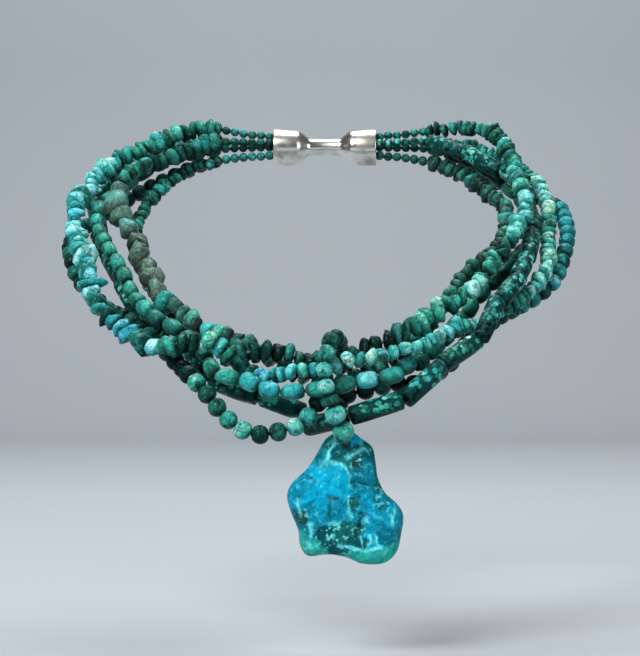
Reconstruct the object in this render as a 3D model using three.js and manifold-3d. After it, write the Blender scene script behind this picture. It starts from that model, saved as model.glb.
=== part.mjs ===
// A turquoise necklace of six bead strings that run together from a clasp at the nape to the front, where a
// loop of round beads gathers them and carries a freeform stone slab through a drilled hole.
// Millimetres. +Z is up, the front faces -Y and +X is on the right in a front view.
// The origin is the middle of the neck opening.
import * as THREE from "three";
import Module from "manifold-3d";
import { mergeVertices } from "three/addons/utils/BufferGeometryUtils.js";

// Driving sizes
const CLEARANCE = 0.3; // between neighbouring pieces
const SETTLE_ALLOWANCE = 0.35; // more room between strings, because they are compared point by point
const SAMPLE_STEP = 2.5; // distance between compared points along a string
const SETTLE_ROUNDS = 400;
const PUSH_SHARE = 0.35; // how much of an overlap one round takes away
const EVEN_SHARE = 0.22; // how much one round evens out neighbouring shifts

const END_RUN = 26; // last stretch of each string, where the beads are small
const END_BEAD_LENGTH = 6.5;
const END_RADIUS = 1.6;
const THREAD_RADIUS = 0.6;

const BEAD_SIDES = 10;
const PLAIN_SIDES = 8;
const PLAIN_STEP = 11; // ring spacing of a string whose small chips are not modelled one by one

const BAIL_BEAD_DIAMETER = 5.6;
const BAIL_BEAD_PITCH = 5.3;
const BAIL_FIRST_RISE = 3.6; // height of the lowest front bead above the slab's hole
const BAIL_LEAN = 0.7; // how far it lies to the left of the hole

const SLAB_WIDTH = 36;
const SLAB_HEIGHT = 41.5;
const SLAB_THICKNESS = 6;
const SLAB_HOLE_RADIUS = 1.3;
const SLAB_CENTRE_Y = -71.5;
const HOLE_X = 6.2;
const HOLE_Z = -72.3;

const CUP_RADIUS = 6.1; // inside of the cups that hold the ends of the strings
const CUP_WALL = 0.9;
const CUP_DEPTH = 7;
const CUP_LEAD = 4; // straight stretch of every string outside a cup
const CUP_SHOULDER = 7; // length over which the clasp widens from its waist to a cup
const CUP_BOTTOM = 1.5; // thickness behind a cup's floor
const CUP_TAPER = 0.6; // how much narrower a cup is at its bottom than at its mouth
const CLASP_HALF_LENGTH = 19;
const CLASP_WAIST_RADIUS = 3.2;
const CLASP_Y = 62;
const CLASP_Z = 30;
const END_RING_RADIUS = 3.7; // circle on which the strings enter a cup

// Points that each string follows, from the left cup round the front to the right cup: x, y, z.
const ROUTES = {
  nugget: [
    [-43, 60, 36], [-60, 48, 31], [-75, 34, 22], [-84, 18, 12], [-86, 4, 2], [-83, -11, -12],
    [-78, -22, -23], [-71, -33, -32], [-63, -44, -39], [-54, -54, -43], [-46, -61, -44],
    [-37, -66, -44], [-29, -68, -46], [-19, -69, -46], [-8, -68, -48], [1, -66, -48], [9, -66, -45],
    [17, -65, -42], [28, -60, -37], [39, -52, -31], [46, -45, -25], [53, -38, -19], [58, -30, -13],
    [65, -18, -3], [68, -6, 6], [67, 8, 15], [65, 28, 24], [58, 44, 32], [43, 60, 36],
  ],
  small: [
    [-42, 56, 24], [-55, 46, 17], [-63, 32, 8], [-66, 18, -2], [-65, 6, -11], [-61, -6, -20],
    [-57, -14, -25], [-52, -24, -31], [-43, -38, -38], [-34, -51, -45], [-27, -60, -49],
    [-20, -68, -51], [-12, -73, -51], [1, -73, -49], [12, -73, -47], [24, -70, -45], [30, -67, -43],
    [36, -62, -40], [42, -55, -37], [49, -46, -37], [55, -40, -32], [61, -36, -29], [66, -31, -26],
    [71, -25, -22], [75, -14, -15], [76, -3, -8], [77, 10, 2], [76, 26, 12], [65, 49, 25],
    [44, 65, 32],
  ],
  oval: [
    [-43, 60, 29], [-60, 48, 23], [-74, 34, 12], [-78, 21, 6], [-78, 10, 0], [-73, -5, -8],
    [-67, -20, -19], [-62, -32, -28], [-56, -43, -34], [-48, -51, -40], [-41, -58, -46],
    [-35, -67, -50], [-28, -71, -52], [-21, -73, -54], [-13, -75, -55], [-5, -75, -56], [1, -75, -56],
    [10, -73, -53], [17, -72, -52], [23, -70, -50], [30, -61, -48], [38, -50, -40], [46, -41, -32],
    [52, -34, -25], [59, -25, -19], [65, -10, -13], [71, 5, -7], [74, 20, 0], [69, 35, 10],
    [58, 50, 21], [43, 60, 29],
  ],
  round: [
    [-44, 64, 24], [-63, 53, 15], [-80, 38, 4], [-87, 20, -3], [-88, 5, -10], [-84, -9, -17],
    [-74, -22, -29], [-64, -33, -34], [-55, -43, -39], [-47, -54, -45], [-43, -60, -48],
    [-41, -64, -51], [-38, -68, -56], [-35, -70, -60], [-32, -72, -64], [-28, -73, -67],
    [-25, -74, -69], [-20, -74, -70], [-14, -74, -69], [-8, -73, -67], [-4, -71, -64], [0, -69, -60],
    [6, -66, -58], [15, -66, -56], [23, -64, -54], [31, -61, -54], [39, -53, -47], [50, -40, -38],
    [60, -27, -32], [70, -18, -27], [78, -11, -20], [83, 2, -8], [84, 12, -1], [81, 26, 7],
    [65, 52, 16], [44, 64, 24],
  ],
  tube: [
    [-43, 65, 32], [-63, 56, 26], [-79, 42, 15], [-81, 24, 1], [-76, 8, -10], [-70, -8, -19],
    [-63, -22, -30], [-54, -34, -36], [-48, -43, -41], [-41, -51, -46], [-35, -57, -51],
    [-28, -61, -55], [-20, -65, -58], [-14, -65, -61], [-8, -65, -63], [0, -67, -66], [8, -71, -64],
    [15, -72, -62], [23, -70, -59], [30, -68, -53], [37, -65, -47], [43, -60, -42], [49, -54, -37],
    [55, -47, -30], [61, -37, -21], [67, -22, -13], [70, -8, -5], [71, 8, 4], [70, 26, 15],
    [58, 41, 25], [43, 55, 31],
  ],
  chip: [
    [-42, 55, 31], [-57, 42, 24], [-69, 29, 18], [-74, 14, 8], [-71, 4, 0], [-66, -6, -9],
    [-60, -17, -18], [-55, -28, -27], [-48, -38, -34], [-39, -50, -38], [-30, -57, -42],
    [-21, -60, -45], [-10, -61, -50], [-2, -61, -53], [6, -61, -53], [14, -61, -50], [20, -60, -47],
    [30, -54, -42], [40, -43, -29], [50, -33, -18], [58, -18, -10], [62, -6, -3], [63, 8, 3],
    [62, 20, 7], [59, 31, 11], [53, 44, 17], [41, 56, 23],
  ],
};

// Half width of each string between its ends, the room that its long beads need beside their middle line in
// a bend, and where it enters the left and the right cup: a turn about the cup's axis, or its middle.
const STRINGS = {
  nugget: { radius: 3.3, bend: 0.5, left: 90, right: 90 },
  small: { radius: 2.7, bend: 0.4, left: -126, right: 18 },
  oval: { radius: 2.7, bend: 0.1, left: null, right: null },
  round: { radius: 2.8, bend: 0.05, left: -54, right: -54 },
  tube: { radius: 3.1, bend: 0.8, left: 18, right: 162 },
  chip: { radius: 3.1, bend: 0.3, left: 162, right: -126 },
};

// Stretches where a string's stones are bigger: shares of its length and the half width there.
const SWELLS = {
  nugget: { begin: 0.15, end: 0.37, radius: 3.7 },
  chip: { begin: 0.18, end: 0.35, radius: 4.2 },
};
const SWELL_EASE = 0.02; // share of the length over which a string widens

// Beads that are modelled one by one. A profile row is a share of the length and a share of the half width.
const BEADS = {
  oval: { length: 7.8, spread: 0.16, profile: [[0, 0.32], [0.26, 0.98], [0.74, 0.98]] },
  round: { length: 5.6, spread: 0.02, profile: [[0, 0.4], [0.24, 0.96], [0.76, 0.96]] },
  tube: { length: 17, spread: 0.1, profile: [[0, 0.35], [0.045, 0.97], [0.955, 0.97]] },
};
const ROUND_PROFILE = [[0, 0.4], [0.24, 0.94], [0.76, 0.94]];

// Front view of the slab from its hole: shares of its width and height.
const SLAB_OUTLINE = [
  { x: 0.07, z: 0.075 }, { x: 0.15, z: 0.03 }, { x: 0.25, z: -0.04 }, { x: 0.28, z: -0.15 }, { x: 0.3, z: -0.27 },
  { x: 0.36, z: -0.38 }, { x: 0.47, z: -0.47 }, { x: 0.52, z: -0.56 }, { x: 0.5, z: -0.7 }, { x: 0.46, z: -0.83 },
  { x: 0.35, z: -0.91 }, { x: 0.17, z: -0.915 }, { x: 0.02, z: -0.865 }, { x: -0.13, z: -0.845 },
  { x: -0.3, z: -0.855 }, { x: -0.37, z: -0.78 }, { x: -0.39, z: -0.66 }, { x: -0.45, z: -0.53 },
  { x: -0.485, z: -0.41 }, { x: -0.44, z: -0.31 }, { x: -0.31, z: -0.2 }, { x: -0.22, z: -0.08 },
  { x: -0.15, z: 0.02 }, { x: -0.05, z: 0.07 },
];
// Rounded edge and faces of the slab: share of the way in from the outline and share of the half thickness.
const SLAB_SECTION = [
  { inward: 0.0, depth: 0.0 }, { inward: 0.03, depth: 0.55 }, { inward: 0.12, depth: 0.9 },
  { inward: 0.35, depth: 1.0 }, { inward: 0.68, depth: 1.0 },
];
const SLAB_OUTLINE_STEPS = 48;
// Swells and hollows of the front: place from the hole, reach and rise as shares of the width and thickness.
const SLAB_RELIEF = [
  { x: -0.2, z: -0.4, reach: 0.16, rise: 0.16 }, { x: 0.02, z: -0.33, reach: 0.1, rise: 0.14 },
  { x: 0.4, z: -0.62, reach: 0.12, rise: 0.16 }, { x: 0.22, z: -0.62, reach: 0.09, rise: -0.12 },
  { x: -0.1, z: -0.62, reach: 0.1, rise: -0.14 }, { x: 0.2, z: -0.82, reach: 0.13, rise: 0.12 },
  { x: -0.28, z: -0.72, reach: 0.09, rise: 0.1 }, { x: 0.2, z: -0.4, reach: 0.09, rise: -0.1 },
];

const COLOURS = {
  nugget: 0x3f9c8f, small: 0x59b5a4, oval: 0x62b8ad, round: 0x2c6b5a, tube: 0x2e6f63, chip: 0x4a8f84,
  bail: 0x63b3a0, slab: 0x1b86a6, clasp: 0xb9bcc0,
};

const wasm = await Module();
wasm.setup();

const vec = (p) => new THREE.Vector3(...p);
const radians = THREE.MathUtils.degToRad;

// Evenly spaced points along a smooth curve through the given ones.
function evenPoints(points, step) {
  const curve = new THREE.CatmullRomCurve3(points, false, "catmullrom", 0.5);
  const fine = curve.getPoints(points.length * 24);
  const reach = [0];
  for (let i = 1; i < fine.length; i++) reach.push(reach[i - 1] + fine[i].distanceTo(fine[i - 1]));
  const total = reach[reach.length - 1];
  const count = Math.round(total / step);
  const out = [];
  let k = 0;
  for (let i = 0; i <= count; i++) {
    const at = (total * i) / count;
    while (k < fine.length - 2 && reach[k + 1] < at) k++;
    const share = (at - reach[k]) / (reach[k + 1] - reach[k]);
    out.push(fine[k].clone().lerp(fine[k + 1], share));
  }
  return out;
}

// Where a string enters the cup on one side (-1 left, 1 right): the cup's floor, its mouth and just outside.
function cupPoints(side, seat) {
  const turn = radians(seat ?? 0);
  const off = seat === null ? 0 : END_RING_RADIUS;
  const y = CLASP_Y + off * Math.cos(turn);
  const z = CLASP_Z + off * Math.sin(turn);
  const floor = CLASP_HALF_LENGTH - CUP_DEPTH + CLEARANCE;
  return [floor, CLASP_HALF_LENGTH, CLASP_HALF_LENGTH + CUP_LEAD].map((x) => new THREE.Vector3(side * x, y, z));
}

function stringRoute(name) {
  const { left, right } = STRINGS[name];
  return [...cupPoints(-1, left), ...ROUTES[name].map(vec), ...cupPoints(1, right).reverse()];
}

// Half width between the end runs, at a share of the string's length.
function fullHalfWidth(name, share) {
  const { radius } = STRINGS[name];
  const swell = SWELLS[name];
  if (!swell) return radius;
  const inside = Math.min(share - swell.begin, swell.end - share) / SWELL_EASE;
  return radius + (swell.radius - radius) * THREE.MathUtils.clamp(inside, 0, 1);
}

// Half width of a string at a distance from its left end.
function halfWidth(name, at, total) {
  const fromEnd = Math.min(at, total - at);
  const share = THREE.MathUtils.clamp((fromEnd - END_RUN * 0.6) / (END_RUN * 0.8), 0, 1);
  return END_RADIUS + (fullHalfWidth(name, at / total) - END_RADIUS) * share;
}

// Middle line of the bead loop, closed: up the front, over the strings, down behind them and through the slab.
function bailRoute() {
  const face = SLAB_THICKNESS / 2 + BAIL_BEAD_DIAMETER / 2;
  return [
    [HOLE_X, SLAB_CENTRE_Y, HOLE_Z],
    [HOLE_X, SLAB_CENTRE_Y - SLAB_THICKNESS / 2, HOLE_Z + 0.2],
    [HOLE_X - BAIL_LEAN, SLAB_CENTRE_Y - face - 1.1, HOLE_Z + BAIL_FIRST_RISE],
    [3, -80.5, -63.5], [0.8, -81, -57.5], [-0.4, -80.8, -51], [0.4, -78.5, -45],
    [1.8, -73, -40.6], [4, -66, -40.6], [5, -57, -44.8], [5, -53.8, -52], [5, -55, -59],
    [5.4, -59.5, -65],
    [HOLE_X, SLAB_CENTRE_Y + face + 1.6, HOLE_Z + 2.6],
    [HOLE_X, SLAB_CENTRE_Y + SLAB_THICKNESS / 2, HOLE_Z + 0.2],
  ].map(vec);
}

// Points of a closed curve at even distances, starting in the slab's hole.
function evenLoop(points, count) {
  const curve = new THREE.CatmullRomCurve3(points, true, "catmullrom", 0.5);
  curve.arcLengthDivisions = 600;
  return { curve, length: curve.getLength(), points: curve.getSpacedPoints(count).slice(0, count) };
}

// Pushes strings that lie too close apart, round by round, and evens out the shifts along each string.
// The bead loop is stiff and stays where it is.
function settleStrings(fixed, fixedRadius) {
  const names = Object.keys(ROUTES);
  const lines = names.map((name) => evenPoints(stringRoute(name), SAMPLE_STEP));
  const points = [];
  lines.forEach((line, k) =>
    line.forEach((p, i) => {
      const at = i * SAMPLE_STEP;
      const total = (line.length - 1) * SAMPLE_STEP;
      const fromEnd = Math.min(at, total - at);
      const radius = halfWidth(names[k], at, total) + STRINGS[names[k]].bend;
      points.push({ p: p.clone(), line: k, radius, free: fromEnd > CUP_DEPTH + 1 });
    }),
  );
  fixed.forEach((p) => points.push({ p: p.clone(), line: -1, radius: fixedRadius, free: false }));
  const apart = new THREE.Vector3();
  for (let round = 0; round < SETTLE_ROUNDS; round++) {
    const shift = points.map(() => new THREE.Vector3());
    for (let i = 0; i < points.length; i++) {
      const a = points[i];
      for (let j = i + 1; j < points.length; j++) {
        const b = points[j];
        if (a.line === b.line || (!a.free && !b.free)) continue;
        const room = a.radius + b.radius + CLEARANCE + SETTLE_ALLOWANCE;
        apart.subVectors(a.p, b.p);
        if (Math.abs(apart.x) > room || Math.abs(apart.y) > room || Math.abs(apart.z) > room) continue;
        const distance = apart.length();
        if (distance >= room) continue;
        apart.multiplyScalar((PUSH_SHARE * (room - distance)) / distance);
        shift[i].add(apart);
        shift[j].sub(apart);
      }
    }
    let first = 0;
    for (const line of lines) {
      const last = first + line.length - 1;
      const evened = shift.slice(first, last + 1);
      for (let i = first; i <= last; i++) {
        if (!points[i].free) continue;
        const around = shift[i - 1].clone().add(shift[i + 1]).multiplyScalar(0.5);
        evened[i - first] = shift[i].clone().lerp(around, EVEN_SHARE * 2);
      }
      for (let i = first; i <= last; i++) if (points[i].free) points[i].p.add(evened[i - first]);
      first = last + 1;
    }
  }
  const settled = {};
  let first = 0;
  names.forEach((name, k) => {
    settled[name] = points.slice(first, first + lines[k].length).map((q) => q.p);
    first += lines[k].length;
  });
  return settled;
}

// A string's middle line as a function of the distance along it, with a frame that faces away from the neck.
class StringLine {
  constructor(points) {
    this.points = points;
    this.reach = [0];
    for (let i = 1; i < points.length; i++) this.reach.push(this.reach[i - 1] + points[i].distanceTo(points[i - 1]));
    this.length = this.reach[points.length - 1];
  }
  at(distance) {
    const s = THREE.MathUtils.clamp(distance, 0, this.length);
    let k = 0;
    while (k < this.points.length - 2 && this.reach[k + 1] < s) k++;
    const share = (s - this.reach[k]) / (this.reach[k + 1] - this.reach[k]);
    return this.points[k].clone().lerp(this.points[k + 1], share);
  }
  station(distance, radius) {
    const p = this.at(distance);
    const along = this.at(distance + SAMPLE_STEP).sub(this.at(distance - SAMPLE_STEP)).normalize();
    const out = new THREE.Vector3(p.x, p.y, 0).normalize();
    const u = out.addScaledVector(along, -out.dot(along)).normalize();
    return { p, u, v: along.clone().cross(u), radius };
  }
}

// A closed solid through rings of the stations' radii: a tube that swells and narrows.
function ringedSolid(stations, sides, looped = false) {
  const positions = [];
  const index = [];
  for (const { p, u, v, radius } of stations)
    for (let i = 0; i < sides; i++) {
      const turn = (2 * Math.PI * i) / sides;
      const q = p.clone().addScaledVector(u, radius * Math.cos(turn)).addScaledVector(v, radius * Math.sin(turn));
      positions.push(q.x, q.y, q.z);
    }
  const bands = looped ? stations.length : stations.length - 1;
  for (let k = 0; k < bands; k++)
    for (let i = 0; i < sides; i++) {
      const a = k * sides + i;
      const b = k * sides + ((i + 1) % sides);
      const shift = ((k + 1) % stations.length) * sides - k * sides;
      index.push(a, b, b + shift, a, b + shift, a + shift);
    }
  if (!looped) {
    const start = positions.length / 3;
    const { p: first } = stations[0];
    const { p: last } = stations[stations.length - 1];
    positions.push(first.x, first.y, first.z, last.x, last.y, last.z);
    const base = (stations.length - 1) * sides;
    for (let i = 0; i < sides; i++) {
      const next = (i + 1) % sides;
      index.push(start, next, i);
      index.push(start + 1, base + i, base + next);
    }
  }
  const geometry = new THREE.BufferGeometry();
  geometry.setAttribute("position", new THREE.Float32BufferAttribute(positions, 3));
  geometry.setIndex(index);
  return geometry;
}

// Repeatable shares between 0 and 1.
function dice(seed) {
  let state = seed;
  return () => {
    state = (state * 16807) % 2147483647;
    return state / 2147483647;
  };
}

// Start and length of every bead of a string: small ones in the end runs, its own kind between them.
function layBeads(total, kind, seed) {
  const roll = dice(seed);
  const endCount = Math.round(END_RUN / END_BEAD_LENGTH);
  const middle = total - 2 * END_RUN;
  const lengths = [];
  let sum = 0;
  while (sum < middle - kind.length / 2) {
    lengths.push(kind.length * (1 + kind.spread * (2 * roll() - 1)));
    sum += lengths[lengths.length - 1];
  }
  const fit = middle / sum;
  const beads = [];
  let at = 0;
  const add = (length, small) => {
    beads.push({ start: at, length, small });
    at += length;
  };
  for (let i = 0; i < endCount; i++) add(END_RUN / endCount, true);
  for (const length of lengths) add(length * fit, false);
  for (let i = 0; i < endCount; i++) add(END_RUN / endCount, true);
  return beads;
}

function beadString(name, line, seed) {
  const kind = BEADS[name];
  const stations = [];
  for (const bead of layBeads(line.length, kind, seed)) {
    const profile = bead.small ? ROUND_PROFILE : kind.profile;
    for (const [along, wide] of profile) {
      const middle = bead.start + bead.length / 2;
      const radius = bead.small ? END_RADIUS : halfWidth(name, middle, line.length);
      stations.push(line.station(bead.start + along * bead.length, radius * wide));
    }
  }
  stations.push(line.station(line.length, THREAD_RADIUS));
  return ringedSolid(stations, BEAD_SIDES);
}

// A string of chips too small to be modelled one by one: a tube as wide as they are.
function plainString(name, line) {
  const count = Math.round(line.length / PLAIN_STEP);
  const stations = [];
  for (let i = 0; i <= count; i++) {
    const s = (line.length * i) / count;
    stations.push(line.station(s, halfWidth(name, s, line.length)));
  }
  return ringedSolid(stations, PLAIN_SIDES);
}

// The loop of round beads, with bare thread where it passes through the slab.
function bailLoop() {
  const { curve, length } = evenLoop(bailRoute(), 8);
  const bare = SLAB_THICKNESS / 2 + CLEARANCE + 1.6;
  const count = Math.round((length - 2 * bare) / BAIL_BEAD_PITCH);
  const pitch = (length - 2 * bare) / count;
  const station = (s, radius) => {
    const share = (((s / length) % 1) + 1) % 1;
    const p = curve.getPointAt(share);
    const along = curve.getTangentAt(share);
    const u = new THREE.Vector3(1, 0, 0).addScaledVector(along, -along.x).normalize();
    return { p, u, v: along.clone().cross(u), radius };
  };
  const stations = [station(0, THREAD_RADIUS), station(bare / 2, THREAD_RADIUS)];
  for (let i = 0; i < count; i++)
    for (const [along, wide] of ROUND_PROFILE)
      stations.push(station(bare + (i + along) * pitch, (wide * BAIL_BEAD_DIAMETER) / 2));
  stations.push(station(length - bare, THREAD_RADIUS), station(length - bare / 2, THREAD_RADIUS));
  return ringedSolid(stations, BEAD_SIDES, true);
}

function toSolid(geometry) {
  const bare = geometry.clone();
  bare.deleteAttribute("normal");
  bare.deleteAttribute("uv");
  const merged = mergeVertices(bare, 1e-4);
  return new wasm.Manifold(
    new wasm.Mesh({
      numProp: 3,
      vertProperties: new Float32Array(merged.attributes.position.array),
      triVerts: new Uint32Array(merged.index.array),
    }),
  );
}

function toGeometry(solid) {
  const mesh = solid.getMesh();
  const geometry = new THREE.BufferGeometry();
  geometry.setAttribute("position", new THREE.BufferAttribute(new Float32Array(mesh.vertProperties), 3));
  geometry.setIndex(new THREE.BufferAttribute(new Uint32Array(mesh.triVerts), 1));
  return geometry;
}

// Rise of the slab's front at a place in its front view, as a share of the thickness.
function slabRelief(x, z) {
  let rise = 0;
  for (const swell of SLAB_RELIEF) {
    const dx = x - swell.x * SLAB_WIDTH;
    const dz = z - swell.z * SLAB_HEIGHT;
    rise += swell.rise * Math.exp(-(dx * dx + dz * dz) / (2 * (swell.reach * SLAB_WIDTH) ** 2));
  }
  return rise;
}

// The slab about its hole: rings from the rounded edge in to the middle of each face, and the drilled hole.
// The outline is slid sideways so that its middle of area hangs under the hole.
function slab() {
  const points = SLAB_OUTLINE.map(({ x, z }) => new THREE.Vector3(x * SLAB_WIDTH, 0, z * SLAB_HEIGHT));
  const outline = new THREE.CatmullRomCurve3(points, true, "catmullrom", 0.5).getSpacedPoints(SLAB_OUTLINE_STEPS);
  outline.pop();
  const flat = outline.map((p) => new THREE.Vector2(p.x, p.z));
  const area = THREE.ShapeUtils.area(flat);
  const middle = new THREE.Vector2();
  flat.forEach((p, i) => {
    const q = flat[(i + 1) % flat.length];
    middle.addScaledVector(p.clone().add(q), (p.x * q.y - q.x * p.y) / (6 * area));
  });
  const steps = flat.length;
  const positions = [];
  const index = [];
  const half = SLAB_THICKNESS / 2;
  const put = (p, side, depth) => {
    const rise = side < 0 ? slabRelief(p.x, p.y) * depth : 0;
    positions.push(p.x - middle.x, side * (half * depth + SLAB_THICKNESS * rise), p.y);
  };
  const ring = (inward, side, depth) => {
    for (const p of flat) put(p.clone().lerp(middle, inward), side, depth);
  };
  const backward = SLAB_SECTION.slice(1).reverse();
  for (const { inward, depth } of backward) ring(inward, -1, depth);
  for (const { inward, depth } of SLAB_SECTION) ring(inward, 1, depth);
  put(middle, -1, 1);
  put(middle, 1, 1);
  const rings = backward.length + SLAB_SECTION.length;
  for (let i = 0; i < steps; i++) {
    const next = (i + 1) % steps;
    index.push(rings * steps, next, i);
    for (let k = 0; k < rings - 1; k++) {
      const a = k * steps;
      index.push(a + i, a + next, a + steps + next, a + i, a + steps + next, a + steps + i);
    }
    const base = (rings - 1) * steps;
    index.push(rings * steps + 1, base + i, base + next);
  }
  const geometry = new THREE.BufferGeometry();
  geometry.setAttribute("position", new THREE.Float32BufferAttribute(positions, 3));
  geometry.setIndex(index);
  const drill = new THREE.CylinderGeometry(SLAB_HOLE_RADIUS, SLAB_HOLE_RADIUS, SLAB_THICKNESS * 2, 16);
  return toGeometry(toSolid(geometry).subtract(toSolid(drill)));
}

// The clasp: a barrel along X with a cup at each end, in one piece.
function clasp() {
  const floor = CLASP_HALF_LENGTH - CUP_DEPTH;
  const outer = CUP_RADIUS + CUP_WALL;
  const right = [
    [CLASP_WAIST_RADIUS, floor - CUP_SHOULDER], [outer - CUP_TAPER, floor - CUP_BOTTOM], [outer, CLASP_HALF_LENGTH],
    [CUP_RADIUS, CLASP_HALF_LENGTH], [CUP_RADIUS, floor], [0, floor],
  ];
  const left = right.map(([radius, along]) => [radius, -along]).reverse();
  const profile = [...left, ...right].map(([radius, along]) => new THREE.Vector2(radius, along));
  return new THREE.LatheGeometry(profile, 20).rotateZ(-Math.PI / 2);
}

function finish(name, geometry, colour, roughness, metalness) {
  const mesh = new THREE.Mesh(geometry, new THREE.MeshStandardMaterial({ color: colour, roughness, metalness }));
  mesh.name = name;
  return mesh;
}

const necklace = new THREE.Group();
const bailPoints = evenLoop(bailRoute(), 36).points;
const settled = settleStrings(bailPoints, BAIL_BEAD_DIAMETER / 2);
Object.keys(ROUTES).forEach((name, k) => {
  const line = new StringLine(settled[name]);
  const geometry = BEADS[name] ? beadString(name, line, 101 + k) : plainString(name, line);
  necklace.add(finish("string_" + name, geometry, COLOURS[name], 0.5, 0));
});
necklace.add(finish("bail_beads", bailLoop(), COLOURS.bail, 0.45, 0));

const pendant = finish("pendant_slab", slab(), COLOURS.slab, 0.35, 0);
pendant.position.set(HOLE_X, SLAB_CENTRE_Y, HOLE_Z);
necklace.add(pendant);

const barrel = finish("clasp", clasp(), COLOURS.clasp, 0.3, 1);
barrel.position.set(0, CLASP_Y, CLASP_Z);
necklace.add(barrel);

export default necklace;
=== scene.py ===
"""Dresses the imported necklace: strings of turquoise beads, nuggets and chips, the loop of beads that
gathers them, the polished stone slab that hangs from it, and the metal clasp at the nape."""
import math
from functools import lru_cache

import bpy
import numpy as np
from bpy.props import FloatProperty, FloatVectorProperty, IntProperty, PointerProperty
from bpy.types import Operator, Panel, PropertyGroup
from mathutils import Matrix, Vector


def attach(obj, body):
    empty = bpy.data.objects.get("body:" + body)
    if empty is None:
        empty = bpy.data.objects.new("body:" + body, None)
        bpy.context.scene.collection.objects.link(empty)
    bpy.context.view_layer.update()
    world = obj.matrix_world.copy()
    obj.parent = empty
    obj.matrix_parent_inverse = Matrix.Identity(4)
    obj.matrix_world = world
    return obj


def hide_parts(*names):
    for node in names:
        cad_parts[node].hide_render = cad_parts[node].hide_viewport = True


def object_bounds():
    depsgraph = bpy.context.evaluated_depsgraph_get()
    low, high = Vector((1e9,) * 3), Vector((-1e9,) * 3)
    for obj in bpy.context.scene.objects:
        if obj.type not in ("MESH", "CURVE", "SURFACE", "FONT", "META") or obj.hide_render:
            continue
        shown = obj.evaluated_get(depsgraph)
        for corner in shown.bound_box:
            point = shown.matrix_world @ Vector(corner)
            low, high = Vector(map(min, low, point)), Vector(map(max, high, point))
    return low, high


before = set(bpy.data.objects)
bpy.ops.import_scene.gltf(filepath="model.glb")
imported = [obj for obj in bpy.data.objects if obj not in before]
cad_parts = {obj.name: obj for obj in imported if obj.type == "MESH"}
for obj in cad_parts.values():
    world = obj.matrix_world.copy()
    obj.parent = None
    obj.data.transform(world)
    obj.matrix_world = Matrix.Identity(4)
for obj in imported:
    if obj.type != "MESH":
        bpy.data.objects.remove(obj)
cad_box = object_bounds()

bl_info = {
    "name": "Turquoise necklace",
    "version": (1, 0, 0),
    "blender": (4, 5, 0),
    "location": "3D View > Sidebar > Necklace",
    "description": "Builds the stones, slab and clasp of a worn turquoise necklace",
    "category": "Object",
}

MM = 0.001


def table(columns, *rows):
    """Rows with named columns: the names are given once, then one tuple of values for each row."""
    names = columns.split()
    return [dict(zip(names, row)) for row in rows]


def column_of(rows, title):
    """One column of a table as an array."""
    return np.array([row[title] for row in rows])



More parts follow.
